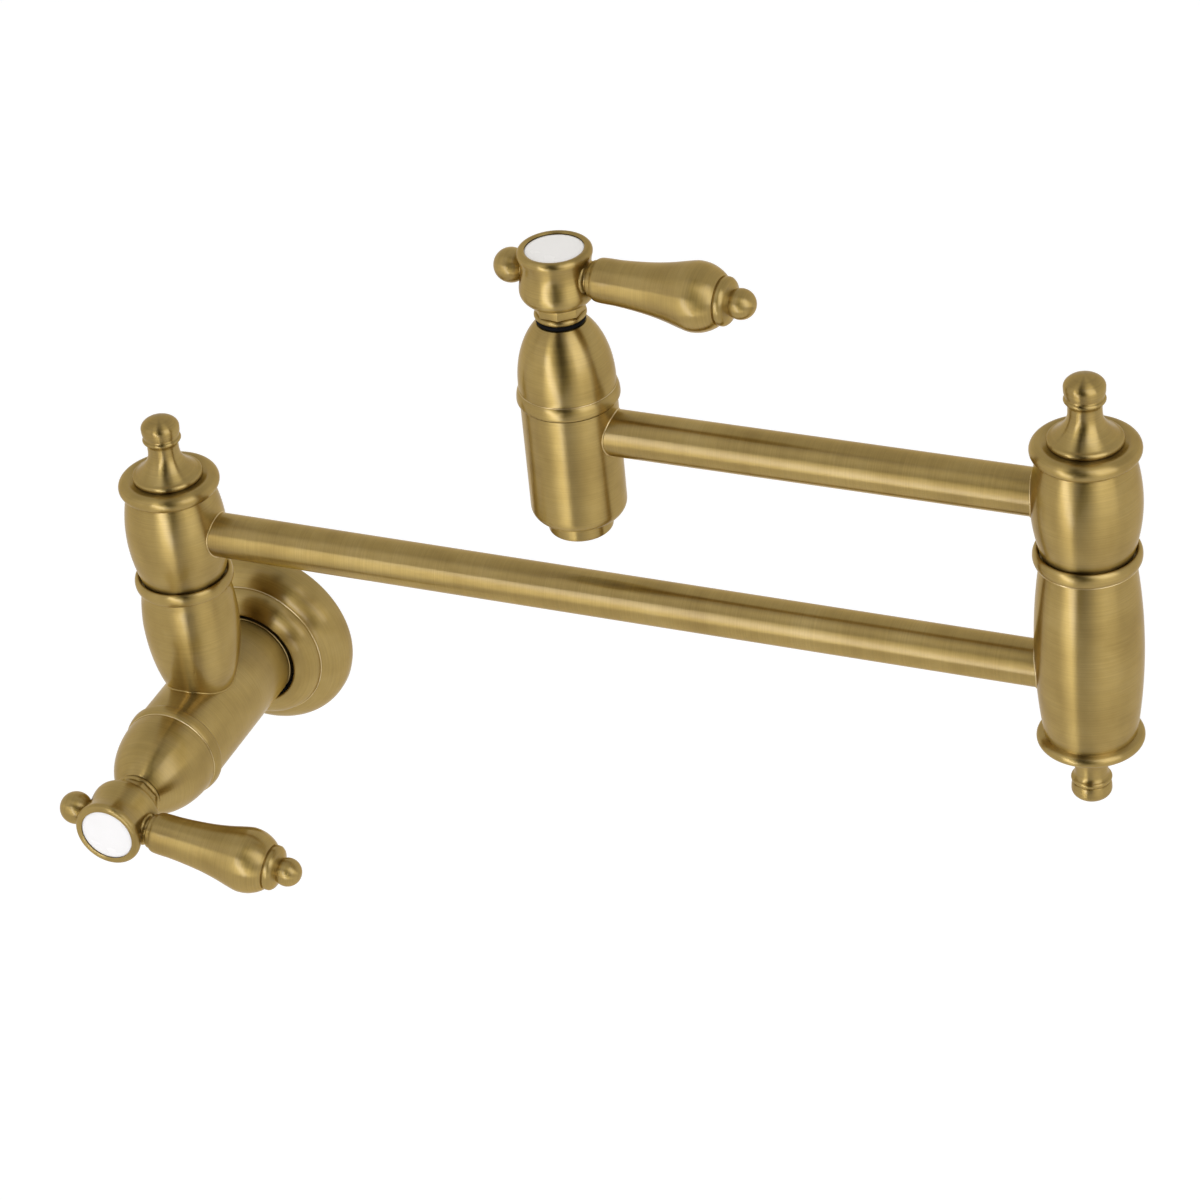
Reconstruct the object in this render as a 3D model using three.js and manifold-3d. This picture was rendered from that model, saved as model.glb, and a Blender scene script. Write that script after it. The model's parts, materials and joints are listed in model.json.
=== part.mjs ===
// Wall mounted pot filler with two folding arms, a valve at the wall and a valve at the spout.
// Millimetres, +Z up, +X along the folded arms, -Y out of the wall into the room.
// The origin is the centre of the wall flange, in the plane of the wall.
import * as THREE from 'three';
import { mergeVertices } from 'three/addons/utils/BufferGeometryUtils.js';
import Module from 'manifold-3d';

const wasm = await Module();
wasm.setup();

// ---------------------------------------------------------------- driving dimensions
const GAP = 0.3; // between pieces that touch
const OVERRUN = 1; // how far a cutter passes the face that it opens
const MERGE = 0.5; // how far forms that become one solid run into each other
const THROUGH = 60; // length of a cutter that runs right out of any body
const TUBE = { radius: 9.5, bore: 7.7, insertion: 15 }; // 19 mm tube, its ends inside the barrels
const POST_FROM_WALL = 64; // vertical swivel axis, measured out from the wall
const ARM1_LENGTH = 400; // centre to centre
const ARM2_LENGTH = 211.2;
const ARM1_HEIGHT = 94.6; // tube axis above the supply pipe
const ARM_STEP = 79.3; // arm 2 rides this far above arm 1
const INLET_VALVE_FROM_WALL = 77.2; // origin of the wall valve on the supply pipe
const INLET_LEVER_TURN = -7.9; // degrees below level, valve closed
const SPOUT_LEVER_TURN = -4.2; // degrees towards the room, valve closed

const FACETS = { large: 16, medium: 12, small: 10, hex: 6 };
const STEPS = { // straight runs in each curved stretch of an outline
  seal: 5, flange: 4, rim: 4, lip: 5, side: 5, tulip: 5, neck: 3, flare: 3, bead: 2, knob: 3, foot: 3, dome: 5,
  hollow: 2, hub: 8, button: 4, grip: 9, throat: 3, tip: 4, ball: 5, corner: 4,
};

const PIPE = { radius: 20.9, bore: 6.5 };
const UNION = { back: 2, socket: 10.6, socketDepth: 20, length: 21.2, spigot: 13, spigotLength: 9.8 };
const POST = { radius: 20.7, bellyZ: -44, tulipHeight: 47.7, rootDeg: -60, waterway: 4.5, waterwayShift: 4.2 };
const POST_NECK = [[20.4, -39], [19.9, -34.5], [19.35, -30.5], [19.2, -28]]; // above the tulip's widest height
const RIM = { ring: 19, bead: 2.18, centreZ: -25.4, fromDeg: -60 }; // rounded rim that carries a swivel barrel
const SOCKET = { radius: 14.8, floorZ: -40 }; // screwed seat of a swivel spindle

const BARREL = {
  radius: 21.5, bellyZ: -0.5, bow: 140, footZ: -25, foot: 15.6, footEdge: 16, footEdgeZ: -24.7,
  sideBottomZ: -23.2, sideTopZ: 19.6, bore: 10,
};
const BARREL_TOP = {
  ring: 18.1, bead: 3.35, centreZ: 22.9, fromDeg: -75, toDeg: 125, seatZ: 25.6, recess: 12.3, recessZ: 13.6,
};
const LOWER = {
  radius: 21.4, bellyZ: 12.8, bow: 532, ring: 19, bead: 2.3, ringZ: -29.85, fromDeg: -125, toDeg: 75,
  seat: 16.4, seatZ: -31.3, sideInset: 2.5, bore: 8, floorZ: -9,
};

const FINIAL = {
  plate: 14.85, plateThick: 1.9, edge: 0.6, spigot: 12, spigotWall: 2.4, spigotDepth: 4.9, hollowZ: -0.4,
  neck: 6.75, neckZ: 12.9, flare: 2.6, beadRing: 6.9, bead: 1.25, beadZ: 18.9, fromDeg: -70, toDeg: 50,
  crease: 7.5, creaseZ: 20.4, cheek: 7.95, cheekZ: 21.9, knob: 8.1, knobZ: 24.1, crown: 4.7,
};

const SPINDLE = {
  base: 14.5, baseZ: -39.7, shoulderZ: -27.7, shaft: 9.6, shaftTopZ: 12.4, thread: 4.6, topZ: 22.5,
  bore: 5.2, boreTopZ: 5, waist: 8, waistHalf: 5.5, port: 3.4, groove: 7.6, grooveHalf: 1.3,
  lowerGrooveZ: -12, upperGrooveZ: 9.3,
};
const SWIVEL_RING = { ring: 8.75, bead: 0.85 };
const THRUST = { inner: 10.2, outer: 14.2, bottomZ: -27.4, topZ: -25.3 };
const NUT = { flange: 11.8, flangeZ: 13.9, hexZ: 15.2, hex: 8.5, topZ: 20.5, bore: 4.9 };

const CHAMBER = { radius: 12.2, seatZ: -14, mouth: 14.5, mouthDepth: 5.2, throat: 6, throatZ: -20 };
const BONNET = {
  ringInset: 0.35, bead: 1.55, beadToDeg: 75, skirt: 14.2, skirtDepth: 4.4, skirtBore: 12.2, domeZ: 22,
  topZ: 48.4, wall: 3, hole: 6.8, hollowEndDeg: 8,
};
const SPOUT_BONNET = { radius: 19.45, beadZ: 15.2, domeHeight: 31 };
const INLET_BONNET = { radius: 21, beadZ: 16.9, domeHeight: 32.5 };
const CARTRIDGE = {
  foot: 8.6, footZ: -13, bodyZ: 3, body: 11.9, bodyTopZ: 12, hexTopZ: 15.8, neck: 6.5, neckTopZ: 55.6,
  discBore: 6.6, discTopZ: 6, stemBore: 4.5, windowHeight: 7, windowZ: -2, windowWidth: 9,
};
const DISC = { radius: 6, thick: 2.6, fixedZ: -13, movingZ: -10.1, hole: 1.9, holeAt: 3.4 };
const SEAT_SEAL = { inner: 5.6, outer: 8.4, bottomZ: -13.7, topZ: -13.3 };
const BONNET_NUT = { radius: 10.4, footZ: 51.7, shoulderZ: 55.2, topZ: 57, flats: 9.9, bore: 6.8, edge: 0.6 };
const BONNET_RING = { ring: 8.7, bead: 1.15, z: 50.1 };

const STEM = {
  radius: 4.2, tangZ: -7.2, tangWidth: 11, tangThick: 3, collar: 6.2, collarZ: 2.5, collarTopZ: 5.6, topZ: 65.5,
  tapped: 2.6, tappedZ: 57.5,
};
const HUB = {
  footZ: 57.3, foot: 9.6, belly: 15.2, topZ: 81.1, cup: 12.45, cupEdge: 0.6, cupZ: 76.4, socket: 4.5,
  socketTopZ: 66, screwHole: 2.6, screwSeat: 5.2, screwSeatZ: 73, spotface: 8.2, spotfaceX: 12, studHole: 3.3,
  studHoleX: 5.2, ballSeat: 5.6, ballSeatX: 12.4,
};
const HUB_SIDE = [ // swelling foot, narrow waist and rolled lip
  [12, 57.4], [14.2, 59.5], [HUB.belly, 62.6], [14.7, 66.2], [13.95, 72.4], [14.6, 77.2], [14.9, 79],
  [14.4, 80.7], [13.5, HUB.topZ],
];
const SCREW = { head: 4.7, headZ: 73.3, headTopZ: 75.8, shank: 2.2, tipZ: 58.2, slot: 1.2, slotDepth: 1.3 };
const BUTTON = { radius: 12.1, bottomZ: 76.7, edgeZ: 80.1, crown: 1, edge: 0.7 };
const LEVER_Z = 69.9; // lever axis above the valve origin
const STUD = { radius: 3, startX: 5.6, endX: 74 };
const NECK = { startX: 12.3, endX: 15.2, ring: 6.9, ringX: 13.2, ringHalf: 0.4, waist: 5.8, waistX: 14.6 };
const GRIP = { startX: 15.5, endX: 70.3, bore: 3.3 };
const GRIP_SIDE = [ // slim behind the neck, fullest near the end
  [6.3, GRIP.startX], [7.6, 16.4], [8.75, 19], [8.95, 26], [9.5, 34], [10.5, 43], [12.1, 51], [13.6, 57],
  [13.9, 60.5], [13.1, 64.8], [11.5, 68], [9.6, GRIP.endX],
];
const TIP = {
  startX: 70.6, foot: 9.15, collar: 9.55, collarX: 71.2, ball: 6.05, ballX: 78.6, ballDeg: -38, holeX: 74.4,
};
const TIP_THROAT = [[TIP.collar, 72.2], [9.05, 73.6], [5.2, 75.7]];
const COUNTER = { radius: 7, centreX: -19.7, neck: 4.1, neckX: -12.7, stud: 3, studX: -5.8 };

const SPOUT = { radius: 19.4, bottomZ: -39.8, corner: 5.5, mouth: 13.45, mouthZ: -30.5, waterway: 9 };
const AERATOR = { radius: 13.15, topZ: -33.2, bottomZ: -46.6, bore: 10.8, edge: 0.9, shelfZ: -37, shelf: 9.6 };
const STRAINER = { radius: 10.5, topZ: -37.4, bottomZ: -44.6, cell: 2, pitch: 5.4, rings: 1 };
const AERATOR_WASHER = { inner: 10.9, outer: 13.1, bottomZ: -32.9, topZ: -31 };

const FLANGE = {
  radius: 41.6, rimZ: 4.6, foot: 40.9, domeCentre: 29, domeHeight: 11.55, stepRadius: 33, step: 0.5,
  noseCentre: 20.5, noseRadius: 32.2, noseHeight: 7.4, hole: 22.5, backRadius: 38.8, wall: 3,
  grooveRadius: 23.9, grooveZ: 18.4, grooveTopZ: 21.2,
};
const FLANGE_RING = { ring: 22.5, bead: 1.1, z: 19.8 };

// ---------------------------------------------------------------- materials
function metal(color, roughness, metalness) {
  return new THREE.MeshStandardMaterial({ color, roughness, metalness });
}

const MATERIALS = {
  brass: () => metal(0xa5894e, 0.34, 1),
  machinedBrass: () => metal(0xc2a15a, 0.42, 1),
  steel: () => metal(0xb9bcc0, 0.35, 1),
  porcelain: () => metal(0xf2eeea, 0.12, 0),
  rubber: () => metal(0x121212, 0.8, 0),
  polymer: () => metal(0xe8e6df, 0.5, 0),
  ceramic: () => metal(0xdedede, 0.25, 0),
};

// ---------------------------------------------------------------- outlines, as [radius, height] points
function arc(centreR, centreZ, radiusR, radiusZ, fromDeg, toDeg, steps) {
  const points = [];
  for (let i = 0; i <= steps; i += 1) {
    const angle = THREE.MathUtils.degToRad(fromDeg + ((toDeg - fromDeg) * i) / steps);
    points.push([centreR + radiusR * Math.cos(angle), centreZ + radiusZ * Math.sin(angle)]);
  }
  return points;
}

function bowed(radius, bellyZ, bow, fromZ, toZ, steps) {
  const points = [];
  for (let i = 0; i <= steps; i += 1) {
    const z = fromZ + ((toZ - fromZ) * i) / steps;
    points.push([radius - (z - bellyZ) ** 2 / bow, z]);
  }
  return points;
}

function smooth(points, steps) {
  const curve = new THREE.SplineCurve(points.map(([r, z]) => new THREE.Vector2(r, z)));
  return curve.getPoints(steps).map((p) => [p.x, p.y]);
}

function ellipseAngle(offset, halfAxis) {
  return THREE.MathUtils.radToDeg(Math.acos(offset / halfAxis));
}

// ---------------------------------------------------------------- solids
function toSolid(geometry) {
  const bare = geometry.clone();
  bare.deleteAttribute('normal');
  bare.deleteAttribute('uv');
  const merged = mergeVertices(bare, 1e-4);
  const index = merged.index.array;
  const kept = [];
  for (let i = 0; i < index.length; i += 3) {
    const [a, b, c] = index.slice(i, i + 3);
    if (a !== b && b !== c && c !== a) kept.push(a, b, c);
  }
  const vertProperties = new Float32Array(merged.attributes.position.array);
  return new wasm.Manifold(new wasm.Mesh({ numProp: 3, vertProperties, triVerts: new Uint32Array(kept) }));
}

// Turns an outline about +Z. A ring's outline closes on itself, any other starts and ends on the axis.
function revolve(outline, facets) {
  const points = outline.map(([r, z]) => new THREE.Vector2(Math.max(r, 0), z));
  const geometry = new THREE.LatheGeometry(points, facets);
  geometry.rotateX(Math.PI / 2);
  return toSolid(geometry);
}

function ring(inner, outer, bottomZ, topZ, facets) {
  return revolve([[inner, bottomZ], [outer, bottomZ], [outer, topZ], [inner, topZ], [inner, bottomZ]], facets);
}

function torus(centreR, bead, z, facets) {
  return revolve(arc(centreR, z, bead, bead, 0, 360, STEPS.seal), facets);
}

function rod(radius, fromZ, toZ, facets) {
  return revolve([[0, fromZ], [radius, fromZ], [radius, toZ], [0, toZ]], facets);
}

const ACROSS = [0, 90, 0]; // turns +Z onto +X
const TO_ROOM = [90, 0, 0]; // turns +Z onto -Y

function bar(radius, fromX, toX, z, facets) {
  return rod(radius, fromX, toX, facets).rotate(ACROSS).translate([0, 0, z]);
}

function toGeometry(solid) {
  const { vertProperties, triVerts } = solid.getMesh();
  const geometry = new THREE.BufferGeometry();
  geometry.setAttribute('position', new THREE.BufferAttribute(vertProperties, 3));
  geometry.setIndex(new THREE.BufferAttribute(triVerts, 1));
  geometry.computeVertexNormals();
  return geometry;
}

function piece(name, solid, material) {
  const mesh = new THREE.Mesh(toGeometry(solid), MATERIALS[material]());
  mesh.name = name;
  return mesh;
}

// ---------------------------------------------------------------- wall flange
function wallFlange() {
  const outerEnd = ellipseAngle(FLANGE.stepRadius - FLANGE.domeCentre, FLANGE.radius - FLANGE.domeCentre);
  const noseAxis = FLANGE.noseRadius - FLANGE.noseCentre;
  const noseEnd = ellipseAngle(FLANGE.hole - FLANGE.noseCentre, noseAxis);
  const domeAxis = FLANGE.radius - FLANGE.domeCentre;
  const dome = arc(FLANGE.domeCentre, FLANGE.rimZ, domeAxis, FLANGE.domeHeight, 0, outerEnd, STEPS.flange);
  const noseZ = dome[dome.length - 1][1] + FLANGE.step;
  const nose = arc(FLANGE.noseCentre, noseZ, noseAxis, FLANGE.noseHeight, 0, noseEnd, STEPS.flange);
  const inside = dome.slice(0, -1).map(([r, z]) => [r - FLANGE.wall, z - FLANGE.wall / 2]).reverse();
  const throatZ = nose[1][1] - FLANGE.wall;
  const outline = [
    [FLANGE.backRadius, 0],
    [FLANGE.foot, 0],
    ...dome,
    ...nose,
    [FLANGE.hole, FLANGE.grooveTopZ],
    [FLANGE.grooveRadius, FLANGE.grooveTopZ],
    [FLANGE.grooveRadius, FLANGE.grooveZ],
    [FLANGE.hole, FLANGE.grooveZ],
    [FLANGE.hole, throatZ],
    ...inside,
    [FLANGE.backRadius, 0],
  ];
  return revolve(outline, FACETS.large);
}

// ---------------------------------------------------------------- swivel joint
// Local origin: the swivel axis at the height of the tube that turns on it.
function rimOutline(z) {
  return arc(RIM.ring, z, RIM.bead, RIM.bead, RIM.fromDeg, 180, STEPS.rim);
}

function spindle() {
  const s = SPINDLE;
  const groove = (z) => [
    [s.shaft, z - s.grooveHalf],
    [s.groove, z - s.grooveHalf],
    [s.groove, z + s.grooveHalf],
    [s.shaft, z + s.grooveHalf],
  ];
  const body = revolve([
    [0, s.baseZ],
    [s.base, s.baseZ],
    [s.base, s.shoulderZ],
    [s.shaft, s.shoulderZ],
    ...groove(s.lowerGrooveZ),
    [s.shaft, -s.waistHalf],
    [s.waist, -s.waistHalf],
    [s.waist, s.waistHalf],
    [s.shaft, s.waistHalf],
    ...groove(s.upperGrooveZ),
    [s.shaft, s.shaftTopZ],
    [s.thread, s.shaftTopZ],
    [s.thread, s.topZ],
    [0, s.topZ],
  ], FACETS.small);
  const port = bar(s.port, -s.base, s.base, 0, FACETS.hex);
  const waterway = rod(s.bore, s.baseZ - OVERRUN, s.boreTopZ, FACETS.hex);
  return body.subtract(waterway).subtract(port).subtract(port.rotate([0, 0, 90]));
}

function spindleNut() {
  const flange = rod(NUT.flange, NUT.flangeZ, NUT.hexZ, FACETS.small);
  const hex = rod(NUT.hex, NUT.hexZ - MERGE, NUT.topZ, FACETS.hex);
  return flange.add(hex).subtract(rod(NUT.bore, NUT.flangeZ - OVERRUN, NUT.topZ + OVERRUN, FACETS.medium));
}

function swivelSet(prefix) {
  const group = new THREE.Group();
  const washer = ring(THRUST.inner, THRUST.outer, THRUST.bottomZ, THRUST.topZ, FACETS.medium);
  const seal = (z) => torus(SWIVEL_RING.ring, SWIVEL_RING.bead, z, FACETS.medium);
  group.add(
    piece(`${prefix}_spindle`, spindle(), 'machinedBrass'),
    piece(`${prefix}_thrust_washer`, washer, 'polymer'),
    piece(`${prefix}_lower_o_ring`, seal(SPINDLE.lowerGrooveZ), 'rubber'),
    piece(`${prefix}_upper_o_ring`, seal(SPINDLE.upperGrooveZ), 'rubber'),
    piece(`${prefix}_nut`, spindleNut(), 'steel'),
  );
  return group;
}

// Barrel that turns on a spindle and carries an arm tube on one side, side = 1 for +X or -1 for -X.
function barrel(side) {
  const top = BARREL_TOP;
  const shell = bowed(BARREL.radius, BARREL.bellyZ, BARREL.bow, BARREL.sideBottomZ, BARREL.sideTopZ, STEPS.side);
  const lip = arc(top.ring, top.centreZ, top.bead, top.bead, top.fromDeg, top.toDeg, STEPS.lip);
  const body = revolve([
    [BARREL.bore, BARREL.footZ],
    [BARREL.foot, BARREL.footZ],
    [BARREL.footEdge, BARREL.footEdgeZ],
    ...shell,
    ...lip,
    [top.recess, top.seatZ],
    [top.recess, top.recessZ],
    [BARREL.bore, top.recessZ],
    [BARREL.bore, BARREL.footZ],
  ], FACETS.large);
  return body.subtract(tubePort(side, BARREL.bore - OVERRUN));
}

// Stepped hole for a tube end: the tube's own size outside, its bore further in.
function tubePort(side, innerX) {
  const pocket = bar(TUBE.radius + GAP, TUBE.insertion - GAP, THROUGH, 0, FACETS.medium);
  const waterway = bar(TUBE.bore, innerX, TUBE.insertion, 0, FACETS.medium);
  const port = pocket.add(waterway);
  return side > 0 ? port : port.rotate([0, 0, 180]);
}

function armTube(length) {
  const profile = ring(TUBE.bore, TUBE.radius, TUBE.insertion, length - TUBE.insertion, FACETS.medium);
  return profile.rotate(ACROSS);
}

// Turned finial, standing on z = 0, with a screwed spigot below.
function finial() {
  const f = FINIAL;
  const flare = [];
  for (let i = 0; i <= STEPS.flare; i += 1) {
    const z = f.plateThick + ((f.neckZ - f.plateThick) * i) / STEPS.flare;
    const rise = (f.neckZ - z) / (f.neckZ - f.plateThick);
    flare.push([f.neck + (f.plate - f.edge - f.neck) * rise ** f.flare, z]);
  }
  return revolve([
    [0, f.hollowZ],
    [f.spigot - f.spigotWall, f.hollowZ],
    [f.spigot - f.spigotWall, -f.spigotDepth],
    [f.spigot, -f.spigotDepth],
    [f.spigot, 0],
    [f.plate - f.edge, 0],
    [f.plate, f.edge],
    [f.plate, f.plateThick - f.edge],
    ...flare,
    ...arc(f.beadRing, f.beadZ, f.bead, f.bead, f.fromDeg, f.toDeg, STEPS.bead),
    [f.crease, f.creaseZ],
    [f.cheek, f.cheekZ],
    ...arc(0, f.knobZ, f.knob, f.crown, 0, 90, STEPS.knob),
  ], FACETS.medium);
}

// ---------------------------------------------------------------- wall valve body
function inletBody() {
  const pipeEnd = INLET_VALVE_FROM_WALL + INLET_BONNET.beadZ - BONNET.bead - GAP;
  const pipe = rod(PIPE.radius, UNION.back + UNION.length + GAP, pipeEnd, FACETS.large).rotate(TO_ROOM);
  const tulip = arc(0, POST.bellyZ, POST.radius, POST.tulipHeight, POST.rootDeg, 0, STEPS.tulip);
  const post = revolve([
    [0, tulip[0][1]],
    ...tulip,
    ...smooth(POST_NECK, STEPS.neck),
    ...rimOutline(RIM.centreZ),
    [0, RIM.centreZ],
  ], FACETS.large);
  const place = [0, -POST_FROM_WALL, ARM1_HEIGHT];
  const socket = rod(SOCKET.radius, SOCKET.floorZ, RIM.centreZ + OVERRUN, FACETS.large);
  const chamberTop = pipeEnd - INLET_VALVE_FROM_WALL;
  const unionEnd = UNION.back + UNION.length + UNION.spigotLength + GAP;
  const passages = [
    socket.translate(place),
    rod(POST.waterway, 0, ARM1_HEIGHT + SOCKET.floorZ + OVERRUN, FACETS.small)
      .translate([0, -POST_FROM_WALL - POST.waterwayShift, 0]),
    valveChamber(chamberTop).translate([0, 0, INLET_VALVE_FROM_WALL]).rotate(TO_ROOM),
    rod(PIPE.bore, UNION.back, INLET_VALVE_FROM_WALL + CHAMBER.throatZ, FACETS.medium).rotate(TO_ROOM),
    rod(UNION.spigot + GAP, UNION.back, unionEnd, FACETS.medium).rotate(TO_ROOM),
  ];
  return passages.reduce((body, cut) => body.subtract(cut), pipe.add(post.translate(place)));
}

// Sleeve that screws onto the supply nipple behind the flange.
function supplyUnion() {
  return ring(UNION.socket, PIPE.radius, UNION.back, UNION.back + UNION.socketDepth, FACETS.medium);
}

// Tail of the union: a shoulder that closes the sleeve's end, and a spigot that carries the valve body.
function unionSpigot() {
  const u = UNION;
  const seat = u.back + u.socketDepth + GAP;
  const shoulder = u.back + u.length;
  return revolve([
    [PIPE.bore, seat],
    [PIPE.radius, seat],
    [PIPE.radius, shoulder],
    [u.spigot, shoulder],
    [u.spigot, shoulder + u.spigotLength],
    [PIPE.bore, shoulder + u.spigotLength],
    [PIPE.bore, seat],
  ], FACETS.medium);
}

// Room for a cartridge: screwed mouth, chamber and seat, mouth at topZ above the valve origin.
function valveChamber(topZ) {
  const c = CHAMBER;
  return revolve([
    [0, c.throatZ - OVERRUN],
    [c.throat, c.throatZ - OVERRUN],
    [c.throat, c.seatZ],
    [c.radius, c.seatZ],
    [c.radius, topZ - c.mouthDepth],
    [c.mouth, topZ - c.mouthDepth],
    [c.mouth, topZ + OVERRUN],
    [0, topZ + OVERRUN],
  ], FACETS.large);
}

// ---------------------------------------------------------------- quarter-turn valve
// Local origin: on the stem axis at the middle of the cartridge, +Z towards the handle.
function bonnet({ radius, beadZ, domeHeight }) {
  const b = BONNET;
  const bottomZ = beadZ - b.bead;
  const endAngle = THREE.MathUtils.radToDeg(Math.asin((b.topZ - b.domeZ) / domeHeight));
  const hollowEnd = endAngle - b.hollowEndDeg;
  const dome = arc(0, b.domeZ, radius, domeHeight, 0, endAngle, STEPS.dome);
  const hollow = arc(0, b.domeZ, radius - b.wall, domeHeight - b.wall, hollowEnd, 0, STEPS.hollow);
  return revolve([
    [b.skirtBore, bottomZ - b.skirtDepth],
    [b.skirt, bottomZ - b.skirtDepth],
    [b.skirt, bottomZ],
    ...arc(radius - b.ringInset, beadZ, b.bead, b.bead, -90, b.beadToDeg, STEPS.foot),
    [radius, beadZ + b.bead],
    ...dome,
    [b.hole, b.topZ],
    [b.hole, hollow[0][1]],
    ...hollow,
    [b.skirtBore, beadZ + b.bead],
    [b.skirtBore, bottomZ - b.skirtDepth],
  ], FACETS.large);
}

function cartridge() {
  const c = CARTRIDGE;
  const body = revolve([
    [0, c.footZ],
    [c.foot, c.footZ],
    [c.foot, c.bodyZ],
    [c.body, c.bodyZ],
    [c.body, c.bodyTopZ],
    [c.neck, c.bodyTopZ],
    [c.neck, c.neckTopZ],
    [0, c.neckTopZ],
  ], FACETS.medium);
  const hex = rod(c.body, c.bodyTopZ - MERGE, c.hexTopZ, FACETS.hex);
  const bores = rod(c.discBore, c.footZ - OVERRUN, c.discTopZ, FACETS.small)
    .add(rod(c.stemBore, 0, c.neckTopZ + OVERRUN, FACETS.small));
  const window = toSolid(new THREE.BoxGeometry(THROUGH, c.windowWidth, c.windowHeight));
  return body.add(hex).subtract(bores).subtract(window.translate([0, 0, c.windowZ]));
}

function ceramicDisc(bottomZ) {
  const disc = rod(DISC.radius, bottomZ, bottomZ + DISC.thick, FACETS.small);
  const hole = rod(DISC.hole, bottomZ - OVERRUN, bottomZ + DISC.thick + OVERRUN, FACETS.hex);
  return disc.subtract(hole.translate([DISC.holeAt, 0, 0])).subtract(hole.translate([-DISC.holeAt, 0, 0]));
}

function bonnetNut() {
  const n = BONNET_NUT;
  const collar = revolve([
    [0, n.footZ],
    [n.radius - n.edge, n.footZ],
    [n.radius, n.footZ + n.edge],
    [n.radius, n.shoulderZ - n.edge],
    [n.radius - n.edge, n.shoulderZ],
    [0, n.shoulderZ],
  ], FACETS.medium);
  const flats = rod(n.flats, n.shoulderZ - MERGE, n.topZ, FACETS.hex);
  return collar.add(flats).subtract(rod(n.bore, n.footZ - OVERRUN, n.topZ + OVERRUN, FACETS.medium));
}

function valveSet(prefix, bonnetSize) {
  const group = new THREE.Group();
  const seal = ring(SEAT_SEAL.inner, SEAT_SEAL.outer, SEAT_SEAL.bottomZ, SEAT_SEAL.topZ, FACETS.small);
  const bonnetRing = torus(BONNET_RING.ring, BONNET_RING.bead, BONNET_RING.z, FACETS.medium);
  group.add(
    piece(`${prefix}_bonnet`, bonnet(bonnetSize), 'brass'),
    piece(`${prefix}_bonnet_o_ring`, bonnetRing, 'rubber'),
    piece(`${prefix}_bonnet_nut`, bonnetNut(), 'brass'),
    piece(`${prefix}_cartridge`, cartridge(), 'machinedBrass'),
    piece(`${prefix}_fixed_disc`, ceramicDisc(DISC.fixedZ), 'ceramic'),
    piece(`${prefix}_seat_seal`, seal, 'rubber'),
  );
  return group;
}

// ---------------------------------------------------------------- lever handle
function stem() {
  const s = STEM;
  const body = revolve([
    [0, s.collarZ],
    [s.collar, s.collarZ],
    [s.collar, s.collarTopZ],
    [s.radius, s.collarTopZ],
    [s.radius, s.topZ],
    [0, s.topZ],
  ], FACETS.small);
  const tangHeight = s.collarZ - s.tangZ + MERGE;
  const tang = toSolid(new THREE.BoxGeometry(s.tangThick, s.tangWidth, tangHeight));
  const tapping = rod(s.tapped, s.tappedZ, s.topZ + OVERRUN, FACETS.hex);
  return body.add(tang.translate([0, 0, s.tangZ + tangHeight / 2])).subtract(tapping);
}

function hub() {
  const h = HUB;
  const body = revolve([
    [0, h.footZ],
    [h.foot, h.footZ],
    ...smooth(HUB_SIDE, STEPS.hub),
    [h.cup + h.cupEdge, h.topZ],
    [h.cup, h.topZ - h.cupEdge],
    [h.cup, h.cupZ],
    [h.screwSeat, h.cupZ],
    [h.screwSeat, h.screwSeatZ],
    [0, h.screwSeatZ],
  ], FACETS.medium);
  const cuts = [
    rod(h.socket, h.footZ - OVERRUN, h.socketTopZ, FACETS.small),
    rod(h.screwHole, h.socketTopZ - OVERRUN, h.screwSeatZ + OVERRUN, FACETS.hex),
    bar(h.spotface, h.spotfaceX, THROUGH, LEVER_Z, FACETS.medium),
    bar(h.studHole, h.studHoleX, h.spotfaceX + OVERRUN, LEVER_Z, FACETS.hex),
    bar(h.ballSeat, -THROUGH, -h.ballSeatX, LEVER_Z, FACETS.small),
    bar(h.studHole, -h.ballSeatX - OVERRUN, -h.studHoleX, LEVER_Z, FACETS.small),
  ];
  return cuts.reduce((solid, cut) => solid.subtract(cut), body);
}

function handleScrew() {
  const s = SCREW;
  const head = rod(s.head, s.headZ, s.headTopZ, FACETS.small);
  const slot = toSolid(new THREE.BoxGeometry(THROUGH, s.slot, 2 * s.slotDepth));
  const shank = rod(s.shank, s.tipZ, s.headZ + MERGE, FACETS.hex);
  return head.add(shank).subtract(slot.translate([0, 0, s.headTopZ]));
}

function button() {
  const b = BUTTON;
  return revolve([
    [0, b.bottomZ],
    [b.radius, b.bottomZ],
    [b.radius, b.edgeZ - b.edge],
    ...arc(0, b.edgeZ, b.radius - b.edge / 2, b.crown, 0, 90, STEPS.button),
  ], FACETS.medium);
}

function leverNeck() {
  const n = NECK;
  return revolve([
    [GRIP.bore, n.startX],
    [n.waist, n.startX],
    [n.ring, n.ringX - n.ringHalf],
    [n.ring, n.ringX + n.ringHalf],
    [n.waist, n.waistX],
    [n.waist, n.endX],
    [GRIP.bore, n.endX],
    [GRIP.bore, n.startX],
  ], FACETS.small);
}

function leverGrip() {
  const g = GRIP;
  const bore = [[g.bore, g.endX], [g.bore, g.startX]];
  return revolve([bore[1], ...smooth(GRIP_SIDE, STEPS.grip), ...bore], FACETS.medium);
}

function leverTip() {
  const t = TIP;
  const body = revolve([
    [0, t.startX],
    [t.foot, t.startX],
    [t.collar, t.collarX],
    ...smooth(TIP_THROAT, STEPS.throat),
    ...arc(0, t.ballX, t.ball, t.ball, t.ballDeg, 90, STEPS.tip),
  ], FACETS.small);
  return body.subtract(rod(GRIP.bore, t.startX - OVERRUN, t.holeX, FACETS.hex));
}

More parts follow.
